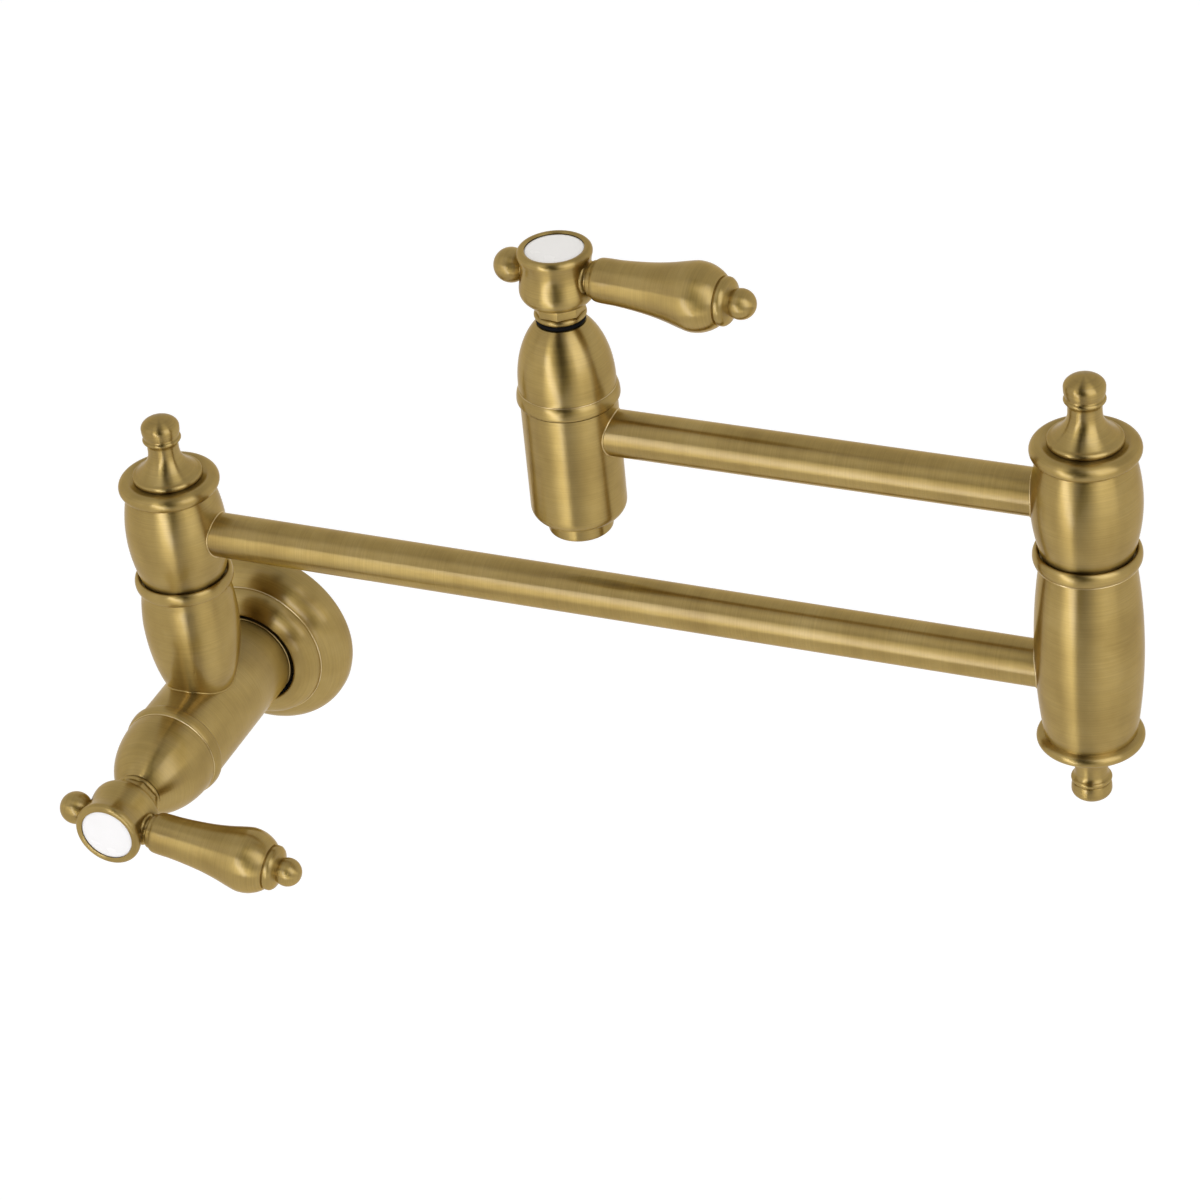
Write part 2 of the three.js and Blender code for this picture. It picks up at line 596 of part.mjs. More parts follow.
function counterBall() {
  const c = COUNTER;
  const ballEnd = ellipseAngle(c.neck, c.radius);
  return revolve([
    ...arc(0, c.centreX, c.radius, c.radius, -90, ballEnd, STEPS.ball),
    [c.neck, c.neckX],
    [c.stud, c.neckX],
    [c.stud, c.studX],
    [0, c.studX],
  ], FACETS.small);
}

// All that turns with a handle; the lever leaves the hub at turnDeg from local +X.
function handleSet(prefix, turnDeg) {
  const group = new THREE.Group();
  group.rotation.z = THREE.MathUtils.degToRad(turnDeg);
  const along = (solid) => solid.rotate(ACROSS).translate([0, 0, LEVER_Z]);
  const stud = rod(STUD.radius, STUD.startX, STUD.endX, FACETS.hex);
  group.add(
    piece(`${prefix}_stem`, stem(), 'machinedBrass'),
    piece(`${prefix}_moving_disc`, ceramicDisc(DISC.movingZ), 'ceramic'),
    piece(`${prefix}_handle_hub`, hub(), 'brass'),
    piece(`${prefix}_handle_screw`, handleScrew(), 'steel'),
    piece(`${prefix}_button`, button(), 'porcelain'),
    piece(`${prefix}_lever_neck`, along(leverNeck()), 'brass'),
    piece(`${prefix}_lever_stud`, along(stud), 'steel'),
    piece(`${prefix}_lever_grip`, along(leverGrip()), 'brass'),
    piece(`${prefix}_lever_tip`, along(leverTip()), 'brass'),
    piece(`${prefix}_counter_ball`, along(counterBall()), 'brass'),
  );
  return group;
}

// ---------------------------------------------------------------- elbow and spout
// Lower half of the elbow, local origin on its axis at the height of arm 1.
function elbowLowerBarrel() {
  const l = LOWER;
  const rimZ = ARM_STEP + RIM.centreZ;
  const socketFloor = ARM_STEP + SOCKET.floorZ;
  const body = revolve([
    [0, l.seatZ],
    [l.seat, l.seatZ],
    ...arc(l.ring, l.ringZ, l.bead, l.bead, l.fromDeg, l.toDeg, STEPS.lip),
    ...bowed(l.radius, l.bellyZ, l.bow, l.ringZ + l.sideInset, rimZ - l.sideInset, STEPS.side),
    ...rimOutline(rimZ),
    [0, rimZ],
  ], FACETS.large);
  const cuts = [
    rod(SOCKET.radius, socketFloor, rimZ + OVERRUN, FACETS.large),
    rod(l.bore, l.floorZ, socketFloor + OVERRUN, FACETS.medium),
    rod(FINIAL.spigot + GAP, l.seatZ - OVERRUN, l.seatZ + FINIAL.spigotDepth, FACETS.medium),
    tubePort(-1, l.bore - OVERRUN),
  ];
  return cuts.reduce((solid, cut) => solid.subtract(cut), body);
}

// Local origin on the spout axis at the height of arm 2.
function spoutBody() {
  const s = SPOUT;
  const topZ = SPOUT_BONNET.beadZ - BONNET.bead - GAP;
  const body = revolve([
    [0, s.bottomZ],
    ...arc(s.radius - s.corner, s.bottomZ + s.corner, s.corner, s.corner, -90, 0, STEPS.corner),
    [s.radius, topZ],
    [0, topZ],
  ], FACETS.large);
  const cuts = [
    valveChamber(topZ),
    rod(s.waterway, s.mouthZ - OVERRUN, CHAMBER.throatZ, FACETS.medium),
    rod(s.mouth, s.bottomZ - OVERRUN, s.mouthZ, FACETS.medium),
    tubePort(1, CHAMBER.radius - OVERRUN),
  ];
  return cuts.reduce((solid, cut) => solid.subtract(cut), body);
}

function aeratorHousing() {
  const a = AERATOR;
  return revolve([
    [a.bore, a.bottomZ],
    [a.radius - a.edge, a.bottomZ],
    [a.radius, a.bottomZ + a.edge],
    [a.radius, a.topZ],
    [a.shelf, a.topZ],
    [a.shelf, a.shelfZ],
    [a.bore, a.shelfZ],
    [a.bore, a.bottomZ],
  ], FACETS.medium);
}

// Disc with a honeycomb of straight holes, one in the middle and `rings` hexagons round it.
function aeratorStrainer() {
  const s = STRAINER;
  let disc = rod(s.radius, s.bottomZ, s.topZ, FACETS.medium);
  const cell = rod(s.cell, s.bottomZ - OVERRUN, s.topZ + OVERRUN, FACETS.hex);
  for (let q = -s.rings; q <= s.rings; q += 1) {
    for (let r = -s.rings; r <= s.rings; r += 1) {
      if (Math.abs(q + r) > s.rings) continue;
      disc = disc.subtract(cell.translate([s.pitch * (q + r / 2), s.pitch * r * Math.sin(Math.PI / 3), 0]));
    }
  }
  return disc;
}

// ---------------------------------------------------------------- assembly
const wallSet = new THREE.Group();
wallSet.rotation.x = Math.PI / 2;
wallSet.add(
  piece('supply_union', supplyUnion(), 'machinedBrass'),
  piece('union_spigot', unionSpigot(), 'machinedBrass'),
  piece('wall_flange', wallFlange(), 'brass'),
  piece('flange_o_ring', torus(FLANGE_RING.ring, FLANGE_RING.bead, FLANGE_RING.z, FACETS.large), 'rubber'),
);

const inletValve = new THREE.Group();
inletValve.position.y = -INLET_VALVE_FROM_WALL;
inletValve.rotation.x = Math.PI / 2;
inletValve.add(valveSet('inlet', INLET_BONNET), handleSet('inlet', INLET_LEVER_TURN));

const shoulder = new THREE.Group();
shoulder.position.set(0, -POST_FROM_WALL, ARM1_HEIGHT);
const shoulderFinial = piece('shoulder_finial', finial(), 'brass');
shoulderFinial.position.z = BARREL_TOP.seatZ + GAP;
shoulder.add(
  swivelSet('shoulder'),
  piece('shoulder_barrel', barrel(1), 'brass'),
  shoulderFinial,
  piece('arm_1_tube', armTube(ARM1_LENGTH), 'brass'),
);

const elbowLower = new THREE.Group();
elbowLower.position.set(ARM1_LENGTH, -POST_FROM_WALL, ARM1_HEIGHT);
const elbowFoot = piece('elbow_bottom_finial', finial(), 'brass');
elbowFoot.rotation.x = Math.PI;
elbowFoot.position.z = LOWER.seatZ - GAP;
elbowLower.add(piece('elbow_lower_barrel', elbowLowerBarrel(), 'brass'), elbowFoot);

const elbowUpper = new THREE.Group();
elbowUpper.position.set(ARM1_LENGTH, -POST_FROM_WALL, ARM1_HEIGHT + ARM_STEP);
const elbowFinial = piece('elbow_finial', finial(), 'brass');
elbowFinial.position.z = BARREL_TOP.seatZ + GAP;
const armTube2 = piece('arm_2_tube', armTube(ARM2_LENGTH), 'brass');
armTube2.rotation.z = Math.PI;
elbowUpper.add(swivelSet('elbow'), piece('elbow_upper_barrel', barrel(-1), 'brass'), elbowFinial, armTube2);

const spout = new THREE.Group();
spout.position.set(ARM1_LENGTH - ARM2_LENGTH, -POST_FROM_WALL, ARM1_HEIGHT + ARM_STEP);
const aeratorWasher = ring(
  AERATOR_WASHER.inner,
  AERATOR_WASHER.outer,
  AERATOR_WASHER.bottomZ,
  AERATOR_WASHER.topZ,
  FACETS.medium,
);
spout.add(
  piece('spout_body', spoutBody(), 'brass'),
  valveSet('spout', SPOUT_BONNET),
  handleSet('spout', SPOUT_LEVER_TURN),
  piece('aerator_housing', aeratorHousing(), 'brass'),
  piece('aerator_strainer', aeratorStrainer(), 'polymer'),
  piece('aerator_washer', aeratorWasher, 'rubber'),
);

const potFiller = new THREE.Group();
potFiller.name = 'pot_filler';
potFiller.add(
  wallSet,
  piece('inlet_body', inletBody(), 'brass'),
  inletValve,
  shoulder,
  elbowLower,
  elbowUpper,
  spout,
);

export default potFiller;
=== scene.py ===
# %% [markdown]
# # A wall mounted pot filler in satin brass
# The tap folds flat along the wall above a cooker and swings out over a pot. Nearly all of it is turned on a
# lathe from brass bar or tube, so this lesson is about lathe work: drawing outlines, spinning them, laying
# brushed metal round the turning axis, and lighting a satin finish. The CAD frame gives every place; Blender
# gives the surface.

# %% Load the CAD frame
import json
import math

import bmesh
import bpy
from mathutils import Matrix, Vector

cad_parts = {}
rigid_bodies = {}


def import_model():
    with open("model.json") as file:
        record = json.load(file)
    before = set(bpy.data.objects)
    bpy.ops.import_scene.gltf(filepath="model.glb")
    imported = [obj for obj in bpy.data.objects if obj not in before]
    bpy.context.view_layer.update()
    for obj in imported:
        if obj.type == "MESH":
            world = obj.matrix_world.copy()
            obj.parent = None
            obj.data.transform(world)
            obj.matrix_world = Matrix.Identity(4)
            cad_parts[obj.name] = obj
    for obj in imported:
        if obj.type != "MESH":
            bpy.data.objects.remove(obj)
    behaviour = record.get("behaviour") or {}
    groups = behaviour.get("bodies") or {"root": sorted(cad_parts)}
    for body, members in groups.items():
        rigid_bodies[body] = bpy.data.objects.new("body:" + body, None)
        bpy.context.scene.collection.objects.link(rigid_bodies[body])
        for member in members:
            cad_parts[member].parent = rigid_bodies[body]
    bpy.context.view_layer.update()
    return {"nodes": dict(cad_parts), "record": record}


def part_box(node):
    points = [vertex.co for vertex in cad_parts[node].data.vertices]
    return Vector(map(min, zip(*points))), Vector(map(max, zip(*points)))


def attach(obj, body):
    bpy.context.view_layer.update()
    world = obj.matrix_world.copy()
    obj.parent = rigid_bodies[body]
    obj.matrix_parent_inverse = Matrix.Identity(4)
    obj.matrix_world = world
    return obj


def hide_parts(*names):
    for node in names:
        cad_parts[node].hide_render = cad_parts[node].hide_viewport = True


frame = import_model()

# %% [markdown]
# ## Where the axes are
# A folding tap is four axes: the supply pipe, the post over it, the elbow and the spout. Measuring them from
# the CAD nodes keeps each finished piece on its own axis, so nothing has to be fitted by eye. Round pieces
# without side holes are measured, because their boxes are centred on the axis.

# %% Read the axes from the frame
MM = 0.001


def middle(node):
    low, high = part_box(node)
    return (low + high) / 2


ARM_1 = middle("arm_1_tube")
ARM_2 = middle("arm_2_tube")
SUPPLY = middle("inlet_bonnet_nut")
SHOULDER = Vector((*middle("shoulder_finial").xy, ARM_1.z))
ELBOW_LOW = Vector((*middle("elbow_finial").xy, ARM_1.z))
ELBOW_TOP = Vector((*middle("elbow_finial").xy, ARM_2.z))
SPOUT = Vector((*middle("spout_bonnet_nut").xy, ARM_2.z))
NUT_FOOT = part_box("spout_bonnet_nut")[0].z - SPOUT.z
INLET = Vector((SUPPLY.x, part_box("inlet_bonnet_nut")[1].y + NUT_FOOT, SUPPLY.z))
ARM_STEP = (ARM_2.z - ARM_1.z) / MM
REACH_1, REACH_2 = ELBOW_LOW.x / MM, (ELBOW_TOP - SPOUT).x / MM
print(f"arm 1 reaches {REACH_1:.1f} mm, arm 2 {REACH_2:.1f} mm, step {ARM_STEP:.1f} mm")

# %% [markdown]
# ## Camera first
# The photograph is taken from the right, well above the tap, with a long lens and the camera rolled a little
# anticlockwise. Setting the camera before any modelling means that every render can be laid over the
# photograph.

# %% Place the camera
CAMERA_AT = Vector((0.78568, -1.32668, 1.01949))
CAMERA_AZIMUTH = math.radians(25.119)
CAMERA_ELEVATION = math.radians(33.635)
CAMERA_ROLL = math.radians(-5.592)
CAMERA_LENS = 123.51  # mm
SENSOR = 36  # mm
VIEW_END = 50  # metres


def aim(azimuth, elevation, roll):
    """Rotation of a camera that looks down its own -Z from that azimuth and elevation."""
    back = Vector((
        math.sin(azimuth) * math.cos(elevation),
        -math.cos(azimuth) * math.cos(elevation),
        math.sin(elevation),
    ))
    level = Vector((math.cos(azimuth), math.sin(azimuth), 0))
    upright = back.cross(level)
    right = level * math.cos(roll) + upright * math.sin(roll)
    above = back.cross(right)
    return Matrix((right, above, back)).transposed()


camera_data = bpy.data.cameras.new("photo_camera")
camera_data.lens = CAMERA_LENS
camera_data.sensor_width = SENSOR
camera_data.clip_end = VIEW_END
camera = bpy.data.objects.new("photo_camera", camera_data)
camera.matrix_world = aim(CAMERA_AZIMUTH, CAMERA_ELEVATION, CAMERA_ROLL).to_4x4()
camera.location = CAMERA_AT
bpy.context.scene.collection.objects.link(camera)
bpy.context.scene.camera = camera
print("camera at", [round(x, 3) for x in CAMERA_AT], "with a", CAMERA_LENS, "mm lens")

# %% [markdown]
# ## Drawing outlines
# A turned piece is one outline of (radius, height) points, here always in mm. Long runs are ellipse arcs or a
# smooth curve through a few chosen points, as a turner's template would be. No real edge is perfectly sharp,
# so corners can carry a small fillet: it catches a thin line of light, which is most of what makes metal look
# like metal.

# %% Outline helpers
def arc(centre_r, centre_z, radius_r, radius_z, start, end, steps):
    """Points of an ellipse arc, angles in degrees from the outward radius."""
    points = []
    for i in range(steps + 1):
        angle = math.radians(start + (end - start) * i / steps)
        points.append((centre_r + radius_r * math.cos(angle), centre_z + radius_z * math.sin(angle)))
    return points


def bow_radius(z, radius, belly, bow):
    """Radius at the height z of a side that bulges gently; it is fullest at the height called belly."""
    return radius - (z - belly) ** 2 / bow


def bowed(side, start, end, steps):
    """Points of such a side; side is its (radius, belly, bow)."""
    heights = [start + (end - start) * i / steps for i in range(steps + 1)]
    return [(bow_radius(z, *side), z) for z in heights]


def template(points, steps):
    """A smooth Catmull-Rom curve through the points."""
    ends = [points[0], *points, points[-1]]
    drawn = []
    for before, start, end, after in zip(ends, ends[1:], ends[2:], ends[3:]):
        for i in range(steps):
            t = i / steps
            drawn.append(tuple(
                0.5 * (2 * s + (e - b) * t + (2 * b - 5 * s + 4 * e - a) * t * t
                       + (3 * s - b - 3 * e + a) * t ** 3)
                for b, s, e, a in zip(before, start, end, after)
            ))
    return drawn + [points[-1]]


def fillet(points, radius, steps=4):
    """Rounds each corner between the first and the last point with a small curve."""
    rounded = [points[0]]
    for before, corner, after in zip(points, points[1:], points[2:]):
        corner = Vector(corner)
        to_before, to_after = Vector(before) - corner, Vector(after) - corner
        reach = min(radius, to_before.length * 0.45, to_after.length * 0.45)
        start = corner + to_before.normalized() * reach
        end = corner + to_after.normalized() * reach
        for i in range(steps + 1):
            t = i / steps
            rounded.append(tuple(start * (1 - t) ** 2 + corner * 2 * t * (1 - t) + end * t * t))
    return rounded + [points[-1]]


print("a quarter arc in 14 steps has", len(arc(0, 0, 1, 1, 0, 90, 14)), "points")

# %% [markdown]
# ## Spinning an outline
# Blender's Screw modifier could spin a curve, but a bmesh spin leaves a plain closed mesh that needs no
# modifier and exports as it is. The piece is built about its own local Z and then laid on its real axis, so
# that the material can find the turning axis again and brush round it. Only real creases are marked sharp.

# %% The lathe
CREASE = math.radians(32)
WELD = 1e-6  # metres; points closer than this are one
ALONG_X = Vector((1, 0, 0))
TO_ROOM = Vector((0, -1, 0))
UP = Vector((0, 0, 1))
DOWN = Vector((0, 0, -1))


def mesh_object(name, form):
    """Closes off a bmesh as a smooth-shaded object with sharp creases."""
    bmesh.ops.recalc_face_normals(form, faces=form.faces)
    for face in form.faces:
        face.smooth = True
    mesh = bpy.data.meshes.new(name)
    form.to_mesh(mesh)
    form.free()
    mesh.set_sharp_from_angle(angle=CREASE)
    piece = bpy.data.objects.new(name, mesh)
    bpy.context.scene.collection.objects.link(piece)
    return piece


def turned(name, outline, segments=96):
    """Spins an outline in mm about local Z. It starts and ends on the axis, or closes on itself."""
    form = bmesh.new()
    verts = [form.verts.new((max(r, 0) * MM, 0, z * MM)) for r, z in outline]
    edges = [form.edges.new(pair) for pair in zip(verts, verts[1:])]
    bmesh.ops.spin(form, geom=verts + edges, axis=(0, 0, 1), cent=(0, 0, 0), dvec=(0, 0, 0),
                   angle=math.tau, steps=segments, use_merge=True, use_duplicate=False)
    bmesh.ops.remove_doubles(form, verts=form.verts, dist=WELD)
    return mesh_object(name, form)


def lay(piece, place, axis=UP, turn=0.0):
    """Lays local Z along axis at a place in the frame, turned about it by so many degrees."""
    swing = UP.rotation_difference(axis).to_matrix().to_4x4()
    piece.matrix_world = Matrix.Translation(place) @ swing @ Matrix.Rotation(math.radians(turn), 4, "Z")
    return piece


def fit(piece, body, nodes, finish):
    """Gives a finished piece its metal, its body and the CAD nodes that it stands for."""
    piece.data.materials.append(finish)
    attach(piece, body)
    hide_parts(*nodes)


def trim(piece, body, finish):
    """The same for a thin brass detail that stands for no CAD node."""
    piece.data.materials.append(finish)
    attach(piece, body)


print(f"edges sharper than {math.degrees(CREASE):.0f} degrees stay sharp")

# %% [markdown]
# ## Satin brass
# The real surface looks brushed while it turned, then lacquered. Three things show: a warm olive gold that
# hardly varies, fine scratches that run round each piece and stretch every highlight along its axis, and
# faint mottling. An anisotropic shader with a radial tangent gives the stretch. Noise squeezed
# along the axis gives the scratches, as bump, as roughness and as slightly darker lines; soft noise tints the
# colour. The lacquer is a thin coat, which makes the highlights a little paler than the metal.

# %% Satin brass material
def new_material(name):
    material = bpy.data.materials.new(name)
    material.use_nodes = True
    nodes = material.node_tree.nodes
    return material, nodes, material.node_tree.links, nodes["Principled BSDF"]


def noise(nodes, links, coordinates, scale, detail, stretch=(1, 1, 1)):
    """A noise texture on object coordinates, squeezed or stretched along local axes."""
    mapping = nodes.new("ShaderNodeMapping")
    mapping.inputs["Scale"].default_value = stretch
    texture = nodes.new("ShaderNodeTexNoise")
    texture.inputs["Scale"].default_value = scale
    texture.inputs["Detail"].default_value = detail
    links.new(coordinates, mapping.inputs["Vector"])
    links.new(mapping.outputs["Vector"], texture.inputs["Vector"])
    return texture.outputs["Fac"]


def ramp(nodes, links, value, stops):
    """A colour ramp; stops are (position, colour)."""
    node = nodes.new("ShaderNodeValToRGB")
    while len(node.color_ramp.elements) < len(stops):
        node.color_ramp.elements.new(1.0)
    for element, (position, colour) in zip(node.color_ramp.elements, stops):
        element.position = position
        element.color = (*colour, 1)
    links.new(value, node.inputs["Fac"])
    return node.outputs["Color"]


def grey(value):
    return (value, value, value)


BRASS_DEEP = (0.326, 0.216, 0.055)
BRASS = (0.389, 0.265, 0.073)
BRASS_PALE = (0.436, 0.305, 0.096)
# Paler brass: solder's own colour on the saddles, and a painted highlight on the crease rings.
SOLDER_AND_HIGHLIGHT_DEEP, SOLDER_AND_HIGHLIGHT_TONE, SOLDER_AND_HIGHLIGHT_PALE = BRASS_PALE, (0.60, 0.46, 0.22), (0.75, 0.62, 0.36)
GRAZING_TINT = (0.72, 0.56, 0.30, 1)  # keeps the metal gold where it is seen edge on
MOTTLE_SCALE = 55
SCRATCH_SCALE = 40
SCRATCH_SQUEEZE = 55    # times finer along the axis than round it
SCRATCH_SHADE = 0.84    # brightness at the bottom of a scratch
SCRATCH_ROUGH = 0.03    # how far the roughness goes up and down
SCRATCH_BUMP = 0.05
SCRATCH_DEPTH = 0.0004  # metres
ROUND_THE_AXIS = 0.25   # a quarter turn of the stretch
LACQUER = 0.5
LACQUER_ROUGHNESS = 0.2


def satin_brass(name, roughness, stretch, deep, plain, pale):
    """Brushed and lacquered brass; the brushing runs round the piece's own Z axis."""
    material, nodes, links, shader = new_material(name)
    place = nodes.new("ShaderNodeTexCoord").outputs["Object"]
    mottle = noise(nodes, links, place, MOTTLE_SCALE, detail=4)
    tint = ramp(nodes, links, mottle, [(0.3, deep), (0.52, plain), (0.75, pale)])
    scratches = noise(nodes, links, place, SCRATCH_SCALE, detail=3, stretch=(1, 1, SCRATCH_SQUEEZE))
    brushed = nodes.new("ShaderNodeMix")
    brushed.data_type = "RGBA"
    brushed.blend_type = "MULTIPLY"
    brushed.inputs["Factor"].default_value = 1.0
    links.new(tint, brushed.inputs["A"])
    shade = ramp(nodes, links, scratches, [(0.3, grey(SCRATCH_SHADE)), (0.7, grey(1.0))])
    links.new(shade, brushed.inputs["B"])
    links.new(brushed.outputs["Result"], shader.inputs["Base Color"])
    low, high = grey(roughness - SCRATCH_ROUGH), grey(roughness + SCRATCH_ROUGH)
    links.new(ramp(nodes, links, scratches, [(0.3, low), (0.7, high)]), shader.inputs["Roughness"])
    bump = nodes.new("ShaderNodeBump")
    bump.inputs["Strength"].default_value = SCRATCH_BUMP
    bump.inputs["Distance"].default_value = SCRATCH_DEPTH
    links.new(scratches, bump.inputs["Height"])
    links.new(bump.outputs["Normal"], shader.inputs["Normal"])
    tangent = nodes.new("ShaderNodeTangent")
    tangent.direction_type = "RADIAL"
    tangent.axis = "Z"
    links.new(tangent.outputs["Tangent"], shader.inputs["Tangent"])
    shader.inputs["Metallic"].default_value = 1.0
    shader.inputs["Anisotropic"].default_value = stretch
    shader.inputs["Anisotropic Rotation"].default_value = ROUND_THE_AXIS
    shader.inputs["Specular Tint"].default_value = GRAZING_TINT
    shader.inputs["Coat Weight"].default_value = LACQUER
    shader.inputs["Coat Roughness"].default_value = LACQUER_ROUGHNESS
    return material


SATIN = satin_brass("satin_brass", 0.34, 0.94, BRASS_DEEP, BRASS, BRASS_PALE)
# Paler, evenly rough brass for solder and for the crease rings; on the rings its paler colour is a painted
# highlight.
SOLDER_AND_HIGHLIGHT_BRASS = satin_brass("polished_edge_brass", 0.3, 0.0, SOLDER_AND_HIGHLIGHT_DEEP, SOLDER_AND_HIGHLIGHT_TONE, SOLDER_AND_HIGHLIGHT_PALE)
print("brass:", SATIN.name, "and", SOLDER_AND_HIGHLIGHT_BRASS.name)

# %% [markdown]
# ## Porcelain, rubber and the metals inside
# The lever buttons are white glazed porcelain: a diffuse body under a clear coat. Seals are matt black rubber
# with almost no gloss, or they would mirror the studio and turn grey. The pieces that stay inside the tap
# keep their CAD shapes and only get plain finishes, seen at most through a gap.

# %% Other materials
GLAZE_ROUGHNESS = 0.06
GLOSS_SPREAD = 0.15  # share by which the roughness goes down and up


def plain_material(name, deep, pale, roughness, metallic=0.0, coat=0.0, scale=90, gloss=0.5):
    """A quiet finish: two close colours mottled, with a little variation in gloss."""
    material, nodes, links, shader = new_material(name)
    place = nodes.new("ShaderNodeTexCoord").outputs["Object"]
    mottle = noise(nodes, links, place, scale, detail=3)
    links.new(ramp(nodes, links, mottle, [(0.35, deep), (0.65, pale)]), shader.inputs["Base Color"])
    low, high = grey(roughness * (1 - GLOSS_SPREAD)), grey(roughness * (1 + GLOSS_SPREAD))
    links.new(ramp(nodes, links, mottle, [(0.3, low), (0.7, high)]), shader.inputs["Roughness"])
    shader.inputs["Metallic"].default_value = metallic
    shader.inputs["Coat Weight"].default_value = coat
    shader.inputs["Coat Roughness"].default_value = GLAZE_ROUGHNESS
    shader.inputs["Specular IOR Level"].default_value = gloss
    return material


PORCELAIN = plain_material(
    "glazed_porcelain", (0.89, 0.85, 0.78), (0.92, 0.88, 0.81), 0.25, coat=1.0, scale=60)
RUBBER = plain_material("seal_rubber", (0.003, 0.003, 0.003), (0.007, 0.006, 0.006), 0.7, gloss=0.06)
INSIDE = {
    "satin_brass": SATIN,
    "machined_brass": plain_material(
        "machined_brass", (0.50, 0.36, 0.14), (0.60, 0.44, 0.19), 0.35, metallic=1.0),
    "steel": plain_material("stainless_steel", (0.48, 0.48, 0.49), (0.58, 0.58, 0.59), 0.32, metallic=1.0),
    "porcelain": PORCELAIN,
    "rubber": RUBBER,
    "acetal": plain_material("white_acetal", (0.70, 0.69, 0.65), (0.78, 0.77, 0.73), 0.45),
    "ceramic": plain_material("valve_ceramic", (0.66, 0.66, 0.66), (0.74, 0.74, 0.74), 0.2),
}
for row in frame["record"]["subparts"]:
    node = frame["nodes"][row["node"]]
    node.data.materials.clear()
    node.data.materials.append(INSIDE[row["material_slot"]])
print("finishes:", sorted(INSIDE))

# %% [markdown]
# ## The finial
# Three identical turned finials close the swivel barrels: a thin plate, a trumpet that rises to a slim neck,
# a bead, and a flattened ball. One outline serves all three, and the bottom one simply hangs upside down.

# %% Finial outline
PLATE_R = 14.85
PLATE_THICK = 2.7
PLATE_EDGE = 1.2
NECK_R = 6.6
NECK_Z = 13.6
KNOB_R = 8.1
KNOB_Z = 24.1
KNOB_CROWN = 4.6
FINIAL_TALL = 28.8  # of the CAD finial, from its seat to its crown


def trumpet(foot_r, foot_z, neck_r, neck_z, flare, steps=22):
    """Concave rise from a wide foot to a slim neck."""
    points = []
    for i in range(steps + 1):
        t = i / steps
        points.append((neck_r + (foot_r - neck_r) * (1 - t) ** flare, foot_z + (neck_z - foot_z) * t))
    return points


def finial(name):
    return turned(name, [
        (0, 0),
        (PLATE_R - PLATE_EDGE, 0),
        *arc(PLATE_R - PLATE_EDGE, PLATE_THICK / 2, PLATE_EDGE, PLATE_THICK / 2, -90, 75, 12),
        *trumpet(PLATE_R - 1.3, PLATE_THICK, NECK_R, NECK_Z, 2.25),
        *template([(NECK_R, 14.6), (6.65, 16.2), (7.1, 17.3), (7.6, 17.8)], 5),
        *arc(6.9, 18.75, 1.25, 1.15, -60, 62, 10),
        (7.35, 20.3),
        *template([(7.7, 20.6), (8.02, 22.2), (KNOB_R, KNOB_Z)], 5),
        *arc(0, KNOB_Z, KNOB_R, KNOB_CROWN, 0, 90, 18),
    ], segments=80)


def finial_seat(node, centre, crown, axis):
    """The seat lies a finial's height back from the crown, which is corner 0 or 1 of the node's box."""
    return Vector((*centre.xy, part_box(node)[crown].z - axis.z * FINIAL_TALL * MM))


for node, centre, crown, axis, body in (
    ("shoulder_finial", SHOULDER, 1, UP, "arm_1"),
    ("elbow_finial", ELBOW_TOP, 1, UP, "arm_2"),
    ("elbow_bottom_finial", ELBOW_LOW, 0, DOWN, "arm_1"),
):
    piece = lay(finial(f"{node}_turned"), finial_seat(node, centre, crown, axis), axis)
    fit(piece, body, [node], SATIN)
FINIAL_SPAN = (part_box("elbow_finial")[1].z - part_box("elbow_bottom_finial")[0].z) / MM
print(f"the elbow is {FINIAL_SPAN:.1f} mm tall over its finials")

# %% [markdown]
# ## Swivel barrels and the rims that they turn on
# Each upper barrel bulges gently under a fat rolled lip and tapers to its foot, which runs inside the rounded
# rim of the piece below. The dark line between them could be painted on, but it is a real gap here, so that
# it stays right when the arms turn.

# %% Upper barrel
LIP_R = 18.1
LIP_BEAD = 3.35
LIP_Z = 22.9
SEAT_Z = 25.6
RECESS_R = 12.3
RECESS_Z = 13.6
BORE = 10.0
FOOT_Z = -25.0
UPPER_SIDE = (21.5, -0.5, 140)  # radius, height of the belly, bow

UPPER_OUTLINE = [
    (BORE, FOOT_Z),
    *fillet([(BORE, FOOT_Z), (15.6, FOOT_Z), (16.0, -24.7), (17.82, -23.2)], 0.5),
    *bowed(UPPER_SIDE, -23.0, 19.2, 30),
    *arc(LIP_R, LIP_Z, LIP_BEAD, LIP_BEAD, -72, 104, 24),
    *template([(16.9, 26.08), (16.2, 25.85), (15.4, 25.66), (14.6, SEAT_Z)], 4),
    (RECESS_R, SEAT_Z),
    (RECESS_R, RECESS_Z),
    (BORE, RECESS_Z),
    (BORE, FOOT_Z),
]
for node, centre, body in (
    ("shoulder_barrel", SHOULDER, "arm_1"),
    ("elbow_upper_barrel", ELBOW_TOP, "arm_2"),
):
    piece = lay(turned(f"{node}_turned", UPPER_OUTLINE), centre)
    fit(piece, body, [node], SATIN)
print(f"upper barrels: {SEAT_Z - FOOT_Z:.1f} mm from foot to seat, {2 * UPPER_SIDE[0]:.0f} mm across")

# %% [markdown]
# ## The rim and the lower barrel
# The rim that an upper barrel turns in is taller than it is thick, which only shows when the picture is laid
# over the photograph. It could be a separate ring, but on the real tap it looks turned from the same bar, so
# it is part of the outline. The elbow's lower barrel closes with a rolled foot that carries the bottom
# finial.

